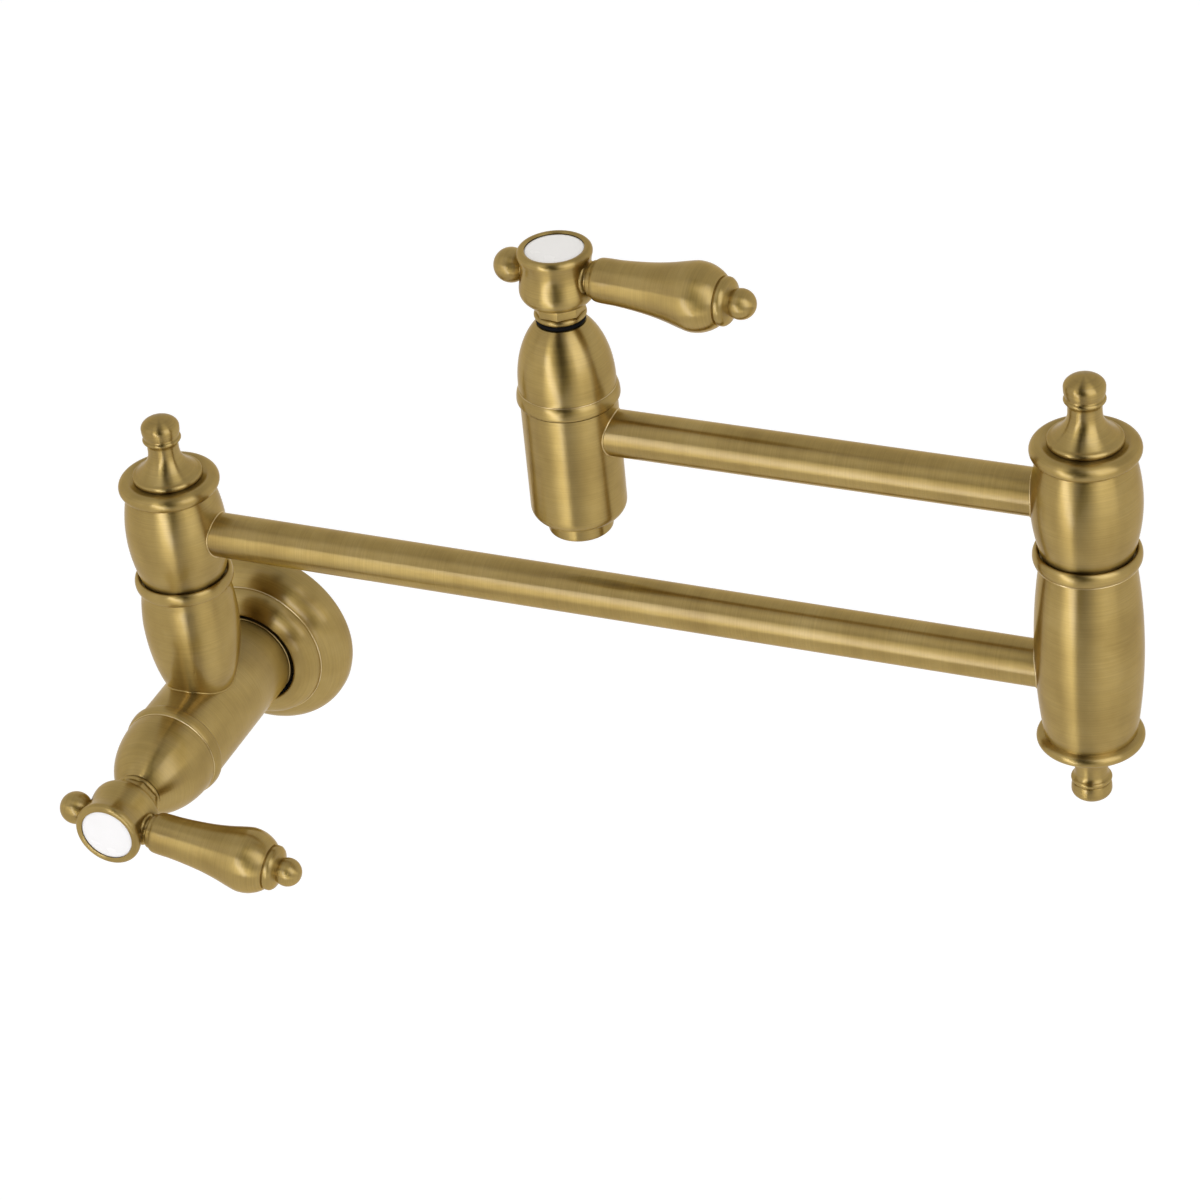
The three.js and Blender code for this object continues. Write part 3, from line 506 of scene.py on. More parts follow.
# %% Lower barrel of the elbow
RIM_R = 19.75
RIM_THICK = 1.43  # half the rim's thickness
RIM_TALL = 3.0    # half its height
RIM_Z = -25.4     # the seat inside the rim
SOCKET_R = 14.8
SOCKET_Z = -40.0
LOWER_SIDE = (21.4, 12.8, 532)
LOWER_FOOT = -31.3


def rim(seat):
    """Tall rounded rim that a barrel's foot runs inside; seat is the height of the flat inside it."""
    return [*arc(RIM_R, seat + 1.0, RIM_THICK, RIM_TALL, -75, 180, 26), (RIM_R - RIM_THICK, seat)]


TOP_RIM = ARM_STEP + RIM_Z
elbow_lower = turned("elbow_lower_barrel_turned", [
    (0, LOWER_FOOT),
    (16.4, LOWER_FOOT),
    *arc(19.0, -29.85, 2.3, 2.3, -128, 72, 26),
    *bowed(LOWER_SIDE, -27.2, TOP_RIM - 2.4, 40),
    *rim(TOP_RIM),
    (SOCKET_R, TOP_RIM),
    (SOCKET_R, ARM_STEP + SOCKET_Z),
    (0, ARM_STEP + SOCKET_Z),
])
fit(lay(elbow_lower, ELBOW_LOW), "arm_1", ["elbow_lower_barrel"], SATIN)
gap = min(math.dist(a, b) for a in UPPER_OUTLINE for b in rim(RIM_Z))
print(f"lower barrel: {TOP_RIM - LOWER_FOOT:.1f} mm up to its seat; a foot turns {gap:.1f} mm inside the rim")

# %% [markdown]
# ## Arm tubes
# Plain 19 mm tube, let into the barrels at both ends. A solid rod would look the same, but the real arms
# carry the water, so each is turned as a ring outline with its bore.

# %% Tubes
TUBE_R = 9.5
TUBE_BORE = 7.7
LET_IN = 15.0


def tube(name, start, end):
    """A hollow tube from one axis to the next, short of both by LET_IN."""
    length = (end - start).length / MM
    outline = [
        (TUBE_BORE, LET_IN),
        (TUBE_R, LET_IN),
        (TUBE_R, length - LET_IN),
        (TUBE_BORE, length - LET_IN),
        (TUBE_BORE, LET_IN),
    ]
    return lay(turned(name, outline, 64), start, (end - start).normalized())


for arm, start, end in (("arm_1", SHOULDER, ELBOW_LOW), ("arm_2", ELBOW_TOP, SPOUT)):
    fit(tube(f"{arm}_tube_drawn", start, end), arm, [f"{arm}_tube"], SATIN)
print(f"two tubes, {2 * TUBE_R:.0f} mm outside and {2 * TUBE_BORE:.1f} mm inside")

# %% [markdown]
# ## Solder at the tube ends
# A thin saddle of solder shows as a pale line where a tube enters a barrel or the spout. A plain ring would
# float off the bulging wall, so the line is a fine bead along the curve on which the two surfaces really
# meet.

# %% Solder saddles
SADDLE_POINTS = 72
SADDLE_THICK = 0.42  # half the bead's thickness
SPOUT_R = 19.4


def closed_bead(name, points, radius):
    """A thin round bead along a closed loop of points in the frame."""
    curve = bpy.data.curves.new(name, "CURVE")
    curve.dimensions = "3D"
    curve.bevel_depth = radius
    curve.bevel_resolution = 3
    spline = curve.splines.new("POLY")
    spline.points.add(len(points) - 1)
    for target, point in zip(spline.points, points):
        target.co = (*point, 1)
    spline.use_cyclic_u = True
    maker = bpy.data.objects.new(name, curve)
    bpy.context.scene.collection.objects.link(maker)
    mesh = bpy.data.meshes.new_from_object(maker.evaluated_get(bpy.context.evaluated_depsgraph_get()))
    bpy.data.objects.remove(maker)
    for face in mesh.polygons:
        face.use_smooth = True
    piece = bpy.data.objects.new(name, mesh)
    bpy.context.scene.collection.objects.link(piece)
    return piece


def saddle(name, centre, side, wall_radius, body):
    """Solder where a tube meets a round wall; wall_radius gives the wall's radius at a height in mm."""
    points = []
    for i in range(SADDLE_POINTS):
        angle = math.tau * i / SADDLE_POINTS
        y, z = TUBE_R * math.sin(angle), TUBE_R * math.cos(angle)
        x = math.sqrt(wall_radius(z) ** 2 - y * y)
        points.append(centre + Vector((side * x, y, z)) * MM)
    trim(closed_bead(name, points, SADDLE_THICK * MM), body, SOLDER_AND_HIGHLIGHT_BRASS)


saddle("solder_shoulder", SHOULDER, 1, lambda z: bow_radius(z, *UPPER_SIDE), "arm_1")
saddle("solder_elbow_lower", ELBOW_LOW, -1, lambda z: bow_radius(z, *LOWER_SIDE), "arm_1")
saddle("solder_elbow_upper", ELBOW_TOP, -1, lambda z: bow_radius(z, *UPPER_SIDE), "arm_2")
saddle("solder_spout", SPOUT, 1, lambda z: SPOUT_R, "arm_2")
print(f"four solder beads, {2 * SADDLE_THICK:.2f} mm thick")

# %% [markdown]
# ## The supply union
# A union screws on the supply nipple behind the flange. Its socket has a half inch pipe thread, 1.81 mm from
# crest to crest. A helix would be truer, but the thread hides in the wall, so a zigzag in the outline gives
# plain rings.

# %% Supply union
PIPE_R = 20.9
UNION_BACK = 2.0
UNION_END = 23.2
THREAD_PITCH = 1.814
THREAD_TURNS = 9
THREAD_ROOT = 10.9
THREAD_CREST = 10.2
FIRST_ROOT = 16.6  # from the back of the union
SOCKET_END = 22.0
SPIGOT_R = 13.0
SPIGOT_END = 33.0
WATERWAY = 6.5
WALL_POINT = Vector((SUPPLY.x, 0, SUPPLY.z))

thread = []
for turn in range(THREAD_TURNS):
    at = UNION_BACK + FIRST_ROOT - turn * THREAD_PITCH
    thread += [(THREAD_ROOT, at), (THREAD_CREST, at - THREAD_PITCH / 2)]
union = turned("supply_union_turned", [
    (THREAD_ROOT, UNION_BACK),
    *fillet([
        (THREAD_ROOT, UNION_BACK), (PIPE_R, UNION_BACK), (PIPE_R, UNION_END),
        (SPIGOT_R, UNION_END), (SPIGOT_R, SPIGOT_END),
    ], 0.5),
    (WATERWAY, SPIGOT_END),
    (WATERWAY, SOCKET_END),
    (THREAD_ROOT, SOCKET_END),
    *thread,
    (THREAD_ROOT, UNION_BACK),
])
fit(lay(union, WALL_POINT, TO_ROOM), "wall_body", ["supply_union", "union_spigot"],
    INSIDE["machined_brass"])
print(f"union: {SPIGOT_END - UNION_BACK:.0f} mm long with {THREAD_TURNS} thread rings")

# %% [markdown]
# ## Pipe and post
# A straight pipe goes on from the union and carries the tulip-shaped post. On the real tap they look like one
# casting, with a crisp crease where the tulip sinks into the pipe. Joining the two meshes would leave uneven
# faces along that crease, so the turned forms pass into each other and a small cast fillet follows their
# meeting curve.

# %% Inlet pipe and post
PIPE_BACK = 23.5
PIPE_END = -INLET.y / MM + 15.0
PIPE_SOCKET_R = 13.3
PIPE_SOCKET_END = 33.3
inlet_pipe = turned("inlet_pipe_turned", [
    (0, PIPE_SOCKET_END),
    (PIPE_SOCKET_R, PIPE_SOCKET_END),
    *fillet([
        (PIPE_SOCKET_R, PIPE_SOCKET_END), (PIPE_SOCKET_R, PIPE_BACK), (PIPE_R, PIPE_BACK),
        (PIPE_R, PIPE_END), (0, PIPE_END),
    ], 0.4),
])
fit(lay(inlet_pipe, WALL_POINT, TO_ROOM), "wall_body", ["inlet_body"], SATIN)

TULIP_R = 20.7
TULIP_Z = -44.0
TULIP_DROP = 47.7
POST_FOOT = -80  # deep inside the pipe
CAST_THICK = 0.6


def tulip(height):
    """Radius of the post's lower part, an ellipse that closes in towards the pipe."""
    return TULIP_R * math.sqrt(1 - ((height - TULIP_Z) / TULIP_DROP) ** 2)


post = turned("post_turned", [
    (0, POST_FOOT),
    *[(tulip(height), height) for height in range(POST_FOOT, round(TULIP_Z) + 1, 2)],
    *template([(20.45, -39.5), (20.0, -35), (19.4, -31), (19.2, -27.6)], 6),
    *rim(RIM_Z),
    (SOCKET_R, RIM_Z),
    (SOCKET_R, SOCKET_Z),
    (0, SOCKET_Z),
])
fit(lay(post, SHOULDER), "wall_body", ["inlet_body"], SATIN)


def crease_points(count=96, rounds=12, first_guess=16.0):
    """Where the tulip meets the pipe, found by a few rounds of correction at each angle."""
    points = []
    for i in range(count):
        angle = math.tau * i / count
        radius = first_guess
        for _ in range(rounds):
            across = radius * math.sin(angle)
            height = math.sqrt(PIPE_R ** 2 - across ** 2) - (SHOULDER.z - SUPPLY.z) / MM
            radius = tulip(height)
        offset = Vector((radius * math.sin(angle), radius * math.cos(angle), height))
        points.append(SHOULDER + offset * MM)
    return points


trim(closed_bead("post_cast_fillet", crease_points(), CAST_THICK * MM), "wall_body", SATIN)
print(f"pipe: {PIPE_END - PIPE_BACK:.1f} mm long; the post is {2 * tulip(POST_FOOT):.1f} mm wide at its foot")

# %% [markdown]
# ## Wall flange
# A spun cover: a flat rim on the wall, a rounded outer dome, one small step, and a nose that curves in to the
# hole round the pipe. It is a shell, open at the back, and an O-ring in its throat grips the pipe. A
# solidified surface would have one even thickness, so inside and outside are drawn as one closed outline.

# %% Flange
flange = turned("wall_flange_spun", [
    (38.8, 0),
    (40.7, 0),
    (41.4, 2.0),
    *arc(29, 4.6, 12.5, 11.4, 0, 71, 20),
    (32.75, 15.45),
    (32.4, 15.9),
    *arc(20.5, 15.9, 11.9, 7.6, 0, 76, 20),
    *arc(23.4, 22.6, 0.9, 0.75, 90, 180, 6),
    (22.5, 21.2),
    (23.9, 21.2),
    (23.9, 18.4),
    (22.5, 18.4),
    (22.5, 17.2),
    (29.5, 14.2),
    (36.0, 10.0),
    (38.6, 4.6),
    (38.8, 0),
], 128)
fit(lay(flange, WALL_POINT, TO_ROOM), "wall_body", ["wall_flange"], SATIN)
throat_ring = turned("flange_o_ring_moulded", arc(22.2, 19.8, 1.35, 1.3, 0, 360, 14), 80)
fit(lay(throat_ring, WALL_POINT, TO_ROOM), "wall_body", ["flange_o_ring"], RUBBER)
flange_r = max(vert.co.xy.length for vert in flange.data.vertices) / MM
print(f"flange: {2 * flange_r:.1f} mm across")

# %% [markdown]
# ## Valve bonnets
# Both quarter-turn valves hide under a domed bonnet. It starts with a small bead and swells from it into the
# dome over a few millimetres. The dome is taller than a ball of its width would be, so it is part of an
# ellipse. On its top lies a black O-ring, with the nut and the lever's hub above it.

# %% Bonnet
BONNET_BEAD = 1.55
BONNET_SWELL = 4.6  # height of the swell above the middle of the bead
BEAD_INSET = 0.35
DOME_Z = 22.0
SEAL_FLOOR = 48.6
SKIRT_R = 14.2
SKIRT_BORE = 12.2
SKIRT_DROP = 5.9
STEM_HOLE = 6.8


def bonnet(name, radius, bead_z, dome_height, top_z, groove_r):
    """The dome ends in a flat top. The O-ring lies in the groove sunk in it, or on it if there is none."""
    end = math.degrees(math.asin((top_z - DOME_Z) / dome_height))
    groove = [(groove_r, top_z), (groove_r, SEAL_FLOOR)] if groove_r else []
    return turned(name, [
        (SKIRT_BORE, bead_z - SKIRT_DROP),
        (SKIRT_R, bead_z - SKIRT_DROP),
        (SKIRT_R, bead_z - BONNET_BEAD),
        *arc(radius - BEAD_INSET, bead_z, BONNET_BEAD, BONNET_BEAD, -90, 0, 12),
        *arc(radius - BEAD_INSET, bead_z, BONNET_BEAD, BONNET_SWELL, 6, 76, 14),
        (radius - 0.02, bead_z + BONNET_SWELL),
        *arc(0, DOME_Z, radius, dome_height, 0, end, 32),
        *groove,
        (STEM_HOLE, SEAL_FLOOR),
        (STEM_HOLE, top_z - 4),
        (SKIRT_BORE, bead_z + 4),
        (SKIRT_BORE, bead_z - SKIRT_DROP),
    ])


print(f"a bonnet's foot is {BONNET_BEAD + BONNET_SWELL:.2f} mm tall")

# %% [markdown]
# ## The nut on the bonnet
# A small nut holds each bonnet: a round shoulder with an octagon above it. A cylinder with eight sides would
# do, but the lathe is at hand: with only eight steps it draws the same prism, bored through. A small bevel
# then breaks the prism's edges, so that they catch a thin line of light.

# %% Nuts and both valves
NUT_SIDES = 8
NUT_CORNER = 10.25
NUT_EDGE = 0.14
NUT_TURN = 17  # degrees
COLLAR_Z = (51.0, 53.6)  # foot and top of the round shoulder
FLATS_Z = (53.65, 57.7)  # of the octagon


def collar_ring(name):
    """The round shoulder at the foot of the nut."""
    foot, top = COLLAR_Z
    return turned(name, [
        (STEM_HOLE, foot),
        (9.7, foot),
        *arc(9.2, 52.25, 1.25, 1.25, -62, 70, 12),
        (9.1, top),
        (STEM_HOLE, top),
        (STEM_HOLE, foot),
    ], 72)


def nut_flats(name):
    """Eight spanner flats: the lathe with eight steps draws the prism, and a bevel breaks its edges."""
    foot, top = FLATS_Z
    piece = turned(name, [
        (STEM_HOLE, foot), (NUT_CORNER, foot), (NUT_CORNER, top), (STEM_HOLE, top), (STEM_HOLE, foot),
    ], NUT_SIDES)
    form = bmesh.new()
    form.from_mesh(piece.data)
    outside = (NUT_CORNER - 0.1) * MM
    outer = [edge for edge in form.edges if min(vert.co.xy.length for vert in edge.verts) > outside]
    bmesh.ops.bevel(form, geom=outer, offset=NUT_EDGE * MM, segments=2, affect="EDGES", profile=0.5)
    form.to_mesh(piece.data)
    form.free()
    piece.data.set_sharp_from_angle(angle=CREASE)
    return piece


def add_valve(prefix, origin, axis, body, dome, seal_outline):
    """Bonnet, seal and octagonal nut of one valve."""
    cover = lay(bonnet(f"{prefix}_bonnet_turned", *dome), origin, axis)
    fit(cover, body, [f"{prefix}_bonnet"], SATIN)
    seal = turned(f"{prefix}_bonnet_o_ring_moulded", seal_outline, 64)
    fit(lay(seal, origin, axis), body, [f"{prefix}_bonnet_o_ring"], RUBBER)
    for part, maker in (("collar", collar_ring), ("flats", nut_flats)):
        piece = lay(maker(f"{prefix}_bonnet_nut_{part}"), origin, axis, NUT_TURN)
        fit(piece, body, [f"{prefix}_bonnet_nut"], SATIN)


# Each dome is its radius, the height of its bead, its own height, its flat top and the radius of its groove.
# On the inlet the seal is sunk in that groove; on the spout it is squeezed out as a black band under the nut.
INLET_DOME = (21.0, 16.9, 32.5, 50.7, 9.2)
SPOUT_DOME = (19.45, 15.2, 31.0, SEAL_FLOOR, 0)
INLET_SEAL = arc(7.95, 49.7, 0.9, 0.9, 0, 360, 14)
SPOUT_SEAL = arc(8.7, 49.8, 1.2, 1.12, 0, 360, 14)
add_valve("inlet", INLET, TO_ROOM, "wall_body", INLET_DOME, INLET_SEAL)
add_valve("spout", SPOUT, UP, "arm_2", SPOUT_DOME, SPOUT_SEAL)
ACROSS_FLATS = 2 * NUT_CORNER * math.cos(math.pi / NUT_SIDES)
print(f"nuts: {NUT_SIDES} flats, {ACROSS_FLATS:.1f} mm across them")

# %% [markdown]
# ## Pale lines in the creases
# Where two turned forms meet, a thin pale line shows in each crease. A hair-thin ring of paler metal in the
# crease gives that line: its paler colour is a painted highlight, a line of light where the crease would
# catch it. As geometry it stays right from every side, as a line painted on the surface would not.

# %% Crease rings
def crease_highlight(name, origin, axis, radius, height, body, thick=0.24):
    """A fine ring of paler metal about an axis, a painted highlight in a crease; radius and height in mm from
    the origin.
    """
    ring = turned(name, arc(radius, height, thick, thick, 0, 360, 8), 96)
    trim(lay(ring, origin, axis), body, SOLDER_AND_HIGHLIGHT_BRASS)


# Each ring is a painted highlight: a line of paler metal where light would catch the crease.
crease_highlight("crease_inlet_bonnet", INLET, TO_ROOM, 21.05, 21.5, "wall_body")
crease_highlight("crease_spout_bonnet", SPOUT, UP, 19.5, 19.85, "arm_2")
crease_highlight("crease_elbow_foot", ELBOW_LOW, UP, 18.4, -27.55, "arm_1")
crease_highlight("crease_elbow_rim", ELBOW_LOW, UP, 20.1, TOP_RIM - 2.05, "arm_1")
crease_highlight("crease_post_rim", SHOULDER, UP, 19.35, RIM_Z - 2.1, "wall_body")
crease_highlight("crease_flange_step", WALL_POINT, TO_ROOM, 32.55, 15.75, "wall_body", 0.3)
rings = [piece.name for piece in bpy.data.objects if piece.name.startswith("crease_")]
print(len(rings), "crease rings")

# %% [markdown]
# ## Lever handles
# The hub swells at its foot, narrows, and rolls over a rim that holds the porcelain button. The button is a
# low dome: a flat disc would show one even grey, while a dome gives the glaze a highlight.

# %% Hub and button
LEVER_Z = 69.9
HUB_FOOT = 58.0
HUB_TOP = 81.1
POCKET_R = 12.3
POCKET_FLOOR = 76.4
BUTTON_R = 12.0
BUTTON_FOOT = 76.7


def hub(name):
    side = template([(9.6, HUB_FOOT), (11.7, 58.3), (13.7, 59.8), (15.0, 62.0), (15.2, 64.4), (14.75, 67.2),
                     (14.15, 70.4), (13.9, 73.2), (14.25, 76.0), (14.75, 78.0)], 5)
    return turned(name, [
        (0, HUB_FOOT),
        *side,
        *arc(12.95, 78.95, 1.95, 2.15, -8, 128, 16),
        (POCKET_R, HUB_TOP - 1.3),
        (POCKET_R, POCKET_FLOOR),
        (0, POCKET_FLOOR),
    ])


def button(name):
    return turned(name, [
        (0, BUTTON_FOOT),
        (BUTTON_R, BUTTON_FOOT),
        (BUTTON_R, 79.7),
        *arc(11.3, 79.75, 0.7, 0.5, 0, 60, 6),
        *arc(0, 80.15, 11.6, 0.95, 8, 90, 14),
    ], 80)


print(f"hub: {HUB_TOP - HUB_FOOT:.1f} mm tall, with a {2 * BUTTON_R:.0f} mm button")

# %% [markdown]
# ## The lever
# It is screwed into the hub's side: a ringed neck, a long grip that swells towards the end, a collar and a
# small ball. A bigger ball balances it on the other side. All are drawn along the lever's own axis, with
# height 0 in the middle of the hub, because on the real lever each is turned on its own and then screwed
# together.

# %% Lever pieces
TIP_BALL_Z = 78.6
TIP_BALL_R = 6.1


def lever_neck(name):
    return turned(name, [
        (0, 11.6),
        (6.0, 11.6),
        (6.0, 12.4),
        *arc(5.9, 13.3, 1.05, 0.85, -70, 70, 10),
        (5.7, 14.4),
        (5.7, 15.6),
        (0, 15.6),
    ], 64)


def lever_grip(name):
    return turned(name, [
        (0, 15.5),
        *fillet([(5.6, 15.5), (6.9, 15.5), (7.35, 16.0), (7.5, 17.6), (7.9, 17.7)], 0.25),
        *template([(8.25, 17.9), (8.7, 19.2), (8.88, 22.5), (8.95, 27), (9.45, 34), (10.35, 42), (11.6, 49),
                   (12.9, 54.5), (13.75, 58.5), (13.85, 61), (13.4, 64), (12.3, 66.9), (10.9, 69.2),
                   (9.7, 70.4)], 5),
        (0, 70.4),
    ])


def lever_tip(name):
    return turned(name, [
        (0, 70.2),
        (9.1, 70.2),
        *fillet([
            (9.1, 70.2), (9.3, 70.9), (9.7, 71.4), (9.6, 73.0), (8.6, 74.2), (6.4, 75.0), (5.0, 75.6),
        ], 0.5),
        *arc(0, TIP_BALL_Z, TIP_BALL_R, TIP_BALL_R, -32, 90, 20),
    ], 64)


def counter_ball(name):
    return turned(name, [
        *arc(0, -19.75, 7.0, 7.0, -90, 54, 24),
        (4.1, -13.6),
        (4.1, -12.6),
        (0, -12.6),
    ], 64)


print(f"the lever reaches {TIP_BALL_Z + TIP_BALL_R:.1f} mm from the valve's axis")

# %% [markdown]
# ## Both handles
# The two handles are the same set on two axes, so one function places them. Copying a finished handle would
# tie it to one direction; here the lever's direction follows from the valve's axis and from how far the
# photograph shows the handle turned.

# %% Assemble both handles
INLET_TURN = -7.9  # degrees
SPOUT_TURN = -4.2


def lever_axis(axis, turn):
    """Direction of the lever: local X of the valve, turned about its axis."""
    side = UP.rotation_difference(axis) @ ALONG_X
    return (Matrix.Rotation(math.radians(turn), 3, axis) @ side).normalized()


def add_handle(prefix, origin, axis, turn, body):
    """Hub and button stand on the valve axis; the lever lies across it, LEVER_Z above the valve."""
    out = lever_axis(axis, turn)
    centre = origin + axis * LEVER_Z * MM
    piece = lay(hub(f"{prefix}_hub_turned"), origin, axis)
    fit(piece, body, [f"{prefix}_handle_hub"], SATIN)
    piece = lay(button(f"{prefix}_button_glazed"), origin, axis)
    fit(piece, body, [f"{prefix}_button"], PORCELAIN)
    for node, maker in (
        ("lever_neck", lever_neck),
        ("lever_grip", lever_grip),
        ("lever_tip", lever_tip),
        ("counter_ball", counter_ball),
    ):
        piece = lay(maker(f"{prefix}_{node}_turned"), centre, out)
        fit(piece, body, [f"{prefix}_{node}"], SATIN)
    return out


inlet_out = add_handle("inlet", INLET, TO_ROOM, INLET_TURN, "inlet_handle")
spout_out = add_handle("spout", SPOUT, UP, SPOUT_TURN, "spout_handle")
print("levers point", [round(x, 3) for x in inlet_out], "and", [round(x, 3) for x in spout_out])

# %% [markdown]
# ## Spout and aerator
# The spout is a plain straight drum with a softly rounded foot. The aerator ring screws into it and stands a
# few millimetres proud. Inside the ring is a plastic strainer with a hexagon of round holes, which the lathe
# can't draw, so there the CAD's own shape shows.

# %% Spout body and aerator ring
DRUM_FOOT = -39.8
DRUM_TOP = 13.3
FOOT_ROUND = 5.5
AERATOR_HOLE = 13.45
AERATOR_FOOT = -46.6
spout_body = turned("spout_body_turned", [
    (AERATOR_HOLE, DRUM_FOOT),
    *arc(SPOUT_R - FOOT_ROUND, -34.3, FOOT_ROUND, FOOT_ROUND, -90, 0, 14),
    (SPOUT_R, DRUM_TOP),
    (SKIRT_BORE, DRUM_TOP),
    (SKIRT_BORE, -14),
    (9.0, -20),
    (9.0, -30.5),
    (AERATOR_HOLE, -30.5),
    (AERATOR_HOLE, DRUM_FOOT),
])
fit(lay(spout_body, SPOUT), "arm_2", ["spout_body"], SATIN)

aerator = turned("aerator_ring_turned", [
    (10.8, AERATOR_FOOT),
    *fillet([(10.8, AERATOR_FOOT), (12.4, AERATOR_FOOT), (13.15, -45.8), (13.15, -33.2)], 0.6),
    (9.6, -33.2),
    (9.6, -37.0),
    (10.8, -37.0),
    (10.8, AERATOR_FOOT),
], 80)
fit(lay(aerator, SPOUT), "arm_2", ["aerator_housing"], SATIN)
print(f"drum: {DRUM_TOP - DRUM_FOOT:.1f} mm tall; its aerator stands {DRUM_FOOT - AERATOR_FOOT:.1f} mm proud")

# %% [markdown]
# ## The studio round the tap
# Satin metal shows what stands round it, so a studio for it is built from what it should mirror. A pale
# surround, a little brighter low down, gives the olive mid-tone. A photographed surround could light it too,
# but it would bring in somebody else's room; here a plain fade from low to high is enough, and lamps add the
# streaks.

# %% Surround
TARGET = Vector((0.2, -0.06, 0.12))
SURROUND_LOW = 0.98   # strength up to the height LOW_END on the sphere of directions
SURROUND_HIGH = 0.70  # strength from the height HIGH_START
LOW_END = 0.09
HIGH_START = 0.82

world = bpy.data.worlds.new("studio")
bpy.context.scene.world = world
world.use_nodes = True
air, air_links = world.node_tree.nodes, world.node_tree.links
split = air.new("ShaderNodeSeparateXYZ")
air_links.new(air.new("ShaderNodeTexCoord").outputs["Generated"], split.inputs["Vector"])
fade = air.new("ShaderNodeMapRange")
air_links.new(split.outputs["Z"], fade.inputs["Value"])
fade.inputs["From Min"].default_value = LOW_END
fade.inputs["From Max"].default_value = HIGH_START
fade.inputs["To Min"].default_value = SURROUND_LOW
fade.inputs["To Max"].default_value = SURROUND_HIGH
air_links.new(fade.outputs["Result"], air["Background"].inputs["Strength"])
air["Background"].inputs["Color"].default_value = (1, 1, 1, 1)
print(f"surround: strength {SURROUND_LOW} low down, {SURROUND_HIGH} overhead")

# %% [markdown]
# ## Soft boxes
# A narrow strip light close by on the left and a soft box on the right give the long streaks of light, and a
# weak broad one fills in from above. Small lamps would give hot points on metal this smooth; wide ones give
# even bands. Strip and box stand less than a metre away, so the streaks sit differently on the near and on
# the far barrel.

# %% Soft boxes
BOX_COLOUR = (0.94, 1.0, 1.2)


def towards(azimuth, elevation):
    """Unit vector out of the tap; azimuth 0 is the room side, 90 is to the right."""
    azimuth, elevation = math.radians(azimuth), math.radians(elevation)
    level = math.cos(elevation)
    return Vector((math.sin(azimuth) * level, -math.cos(azimuth) * level, math.sin(elevation)))


def soft_box(name, azimuth, elevation, distance, size, radiance, lean):
    """A soft light that faces the tap; sizes in metres, angles in degrees. Lean tips its top to the left."""
    wide, high = size
    light = bpy.data.lights.new(name, "AREA")
    light.shape = "RECTANGLE"
    light.size, light.size_y = wide, high
    light.energy = radiance * math.pi * wide * high
    light.color = BOX_COLOUR
    holder = bpy.data.objects.new(name, light)
    facing = aim(math.radians(azimuth), math.radians(elevation), math.radians(lean))
    holder.matrix_world = facing.to_4x4()
    holder.location = TARGET + towards(azimuth, elevation) * distance
    bpy.context.scene.collection.objects.link(holder)
    print(f"{name}: {wide:.2f} x {high:.2f} m, {light.energy:.1f} W")


soft_box("soft_box_right", 62, 31, 0.92, (0.54, 0.95), 1.75, lean=6)
soft_box("strip_light_left", -12.5, -1.5, 0.73, (0.17, 0.80), 4.6, lean=29)
soft_box("soft_box_high", -46, 40, 2.1, (1.3, 2.7), 0.30, lean=-13)

# %% [markdown]
# ## Dark flag
# Between the lamps hangs a dark flag, as photographers use: it gives the dark streak down every dome. It
# could be a dark part of the surround, but a cloth at a real distance shifts from piece to piece, as in the
# photograph. It is a strip on a sphere round the tap whose two edges change with height. Each point of the
# mesh says how much it covers, so the edges fade without an image. The camera doesn't see it.

# %% Dark flag
FLAG_DISTANCE = 1.43
FLAG_EDGES = [  # elevation, left azimuth, right azimuth
    (-26, -7, 3), (-20, -4, 11), (0, 12, 40), (10, -3, 36), (20, -18, 32), (30, -12, 30), (40, -6, 29),
    (52, -14, 16), (62, -20, 5), (75, -28, 40), (85, -35, 74),
]
FLAG_COLUMNS = 12
FLAG_SOFT = 0.1  # share of its width over which an edge fades


def flag_strip():
    """A curved black cloth on a sphere round the tap; the attribute says how much it covers at each point."""
    form = bmesh.new()
    cover = form.verts.layers.float.new("cloth_cover")
    rows = []
    for elevation, left, right in FLAG_EDGES:
        row = []
        for i in range(FLAG_COLUMNS + 1):
            across = i / FLAG_COLUMNS
            vert = form.verts.new(TARGET + towards(left + (right - left) * across, elevation) * FLAG_DISTANCE)
            vert[cover] = min(1.0, min(across, 1 - across) / FLAG_SOFT)
            row.append(vert)
        rows.append(row)
    for low, high in zip(rows, rows[1:]):
        for i in range(FLAG_COLUMNS):
            form.faces.new((low[i], low[i + 1], high[i + 1], high[i]))
    return mesh_object("dark_flag", form)


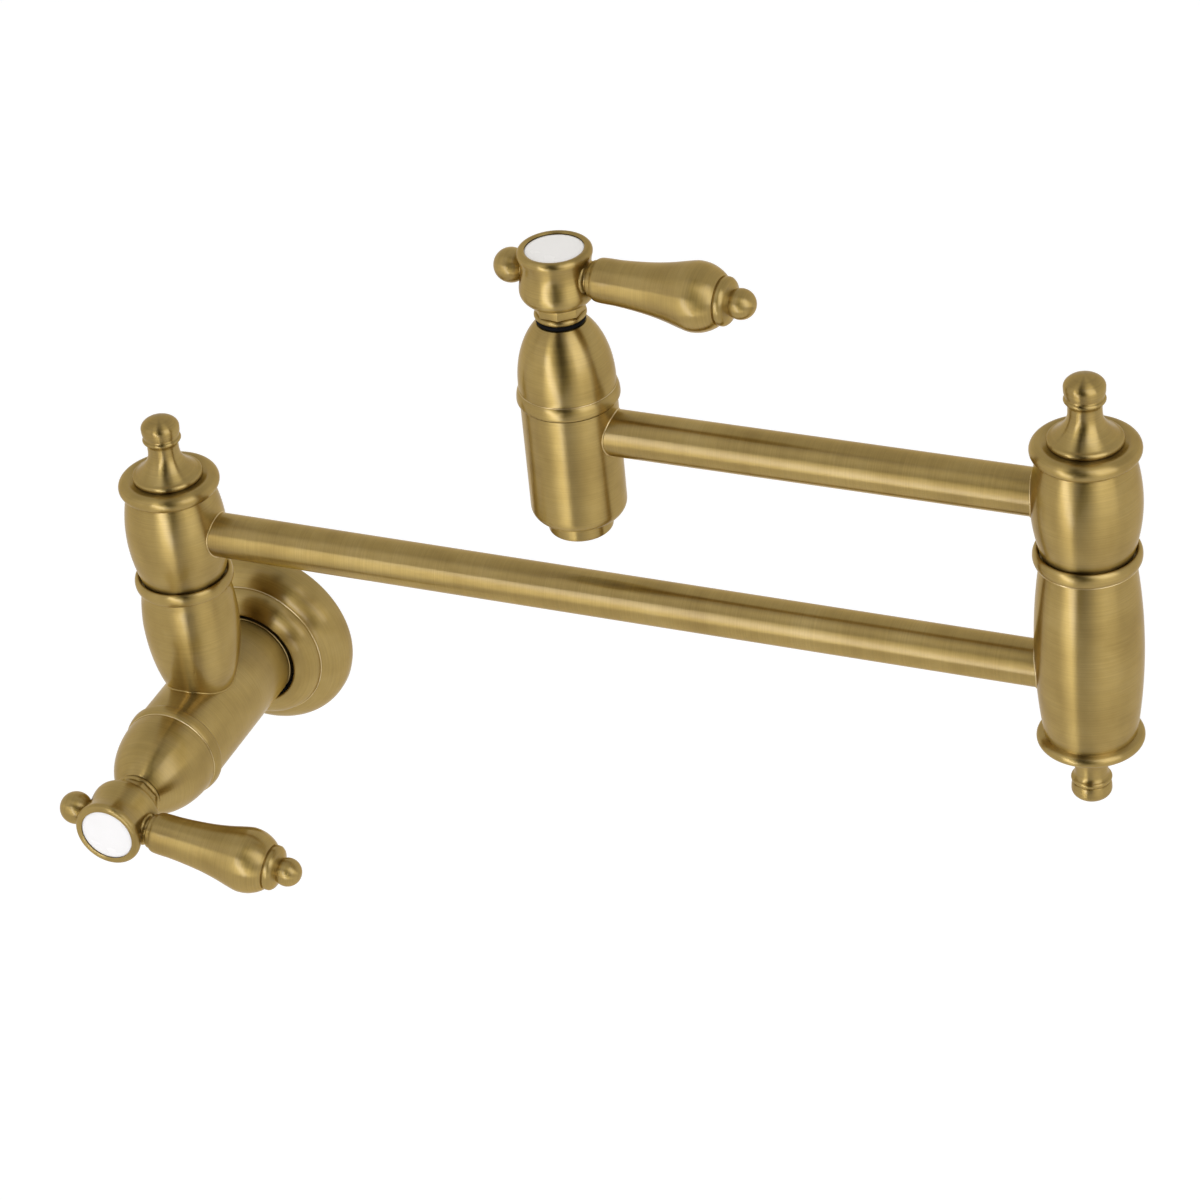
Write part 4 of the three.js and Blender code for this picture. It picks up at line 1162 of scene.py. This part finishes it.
def flag_cloth():
    """Black cloth that lets light through where its cover is low."""
    material, nodes, links, shader = new_material("flag_cloth")
    shader.inputs["Base Color"].default_value = (0.004, 0.004, 0.004, 1)
    shader.inputs["Roughness"].default_value = 1.0
    shader.inputs["Specular IOR Level"].default_value = 0.0
    cover = nodes.new("ShaderNodeAttribute")
    cover.attribute_name = "cloth_cover"
    links.new(cover.outputs["Fac"], shader.inputs["Alpha"])
    return material


flag = flag_strip()
flag.data.materials.append(flag_cloth())
flag.visible_camera = False
print(f"dark flag: {len(flag.data.polygons)} faces, {FLAG_DISTANCE} m from the tap")

# %% [markdown]
# ## Floor
# The photograph's ground is plain white without a shadow. A floor of pale paint lights the tap softly from
# below, and it lies so far under the tap that no shadow shows on it. A white surround could take its place,
# but the metal should mirror a floor where a real one would lie. The paint alone comes out a little grey, so
# it glows, for camera, glossy and transmission rays only.

# %% Floor
FLOOR_AT = (0.2, 0, -0.9)
FLOOR_SIZE = 6
FLOOR_PAINT = (0.8, 0.8, 0.8)
FLOOR_GLOW = 0.38


def pale_floor(name, colour, glow):
    """Plain pale paint with a glow that only camera, glossy and transmission rays see."""
    material, nodes, links, shader = new_material(name)
    shader.inputs["Base Color"].default_value = (*colour, 1)
    shader.inputs["Roughness"].default_value = 0.9
    shader.inputs["Emission Color"].default_value = (1, 1, 1, 1)
    path = nodes.new("ShaderNodeLightPath").outputs
    seen = path["Is Camera Ray"]
    for ray in ("Is Glossy Ray", "Is Transmission Ray"):
        either = nodes.new("ShaderNodeMath")
        either.operation = "MAXIMUM"
        links.new(seen, either.inputs[0])
        links.new(path[ray], either.inputs[1])
        seen = either.outputs["Value"]
    share = nodes.new("ShaderNodeMath")
    share.operation = "MULTIPLY"
    share.inputs[1].default_value = glow
    links.new(seen, share.inputs[0])
    links.new(share.outputs["Value"], shader.inputs["Emission Strength"])
    return material


floor_form = bmesh.new()
bmesh.ops.create_grid(floor_form, x_segments=8, y_segments=8, size=FLOOR_SIZE)
floor = mesh_object("floor", floor_form)
floor.location = FLOOR_AT
floor.data.materials.append(pale_floor("pale_floor", FLOOR_PAINT, FLOOR_GLOW))
bpy.context.scene.view_settings.view_transform = "Standard"
print(f"floor: {-FLOOR_AT[2]} m under the supply pipe's axis")
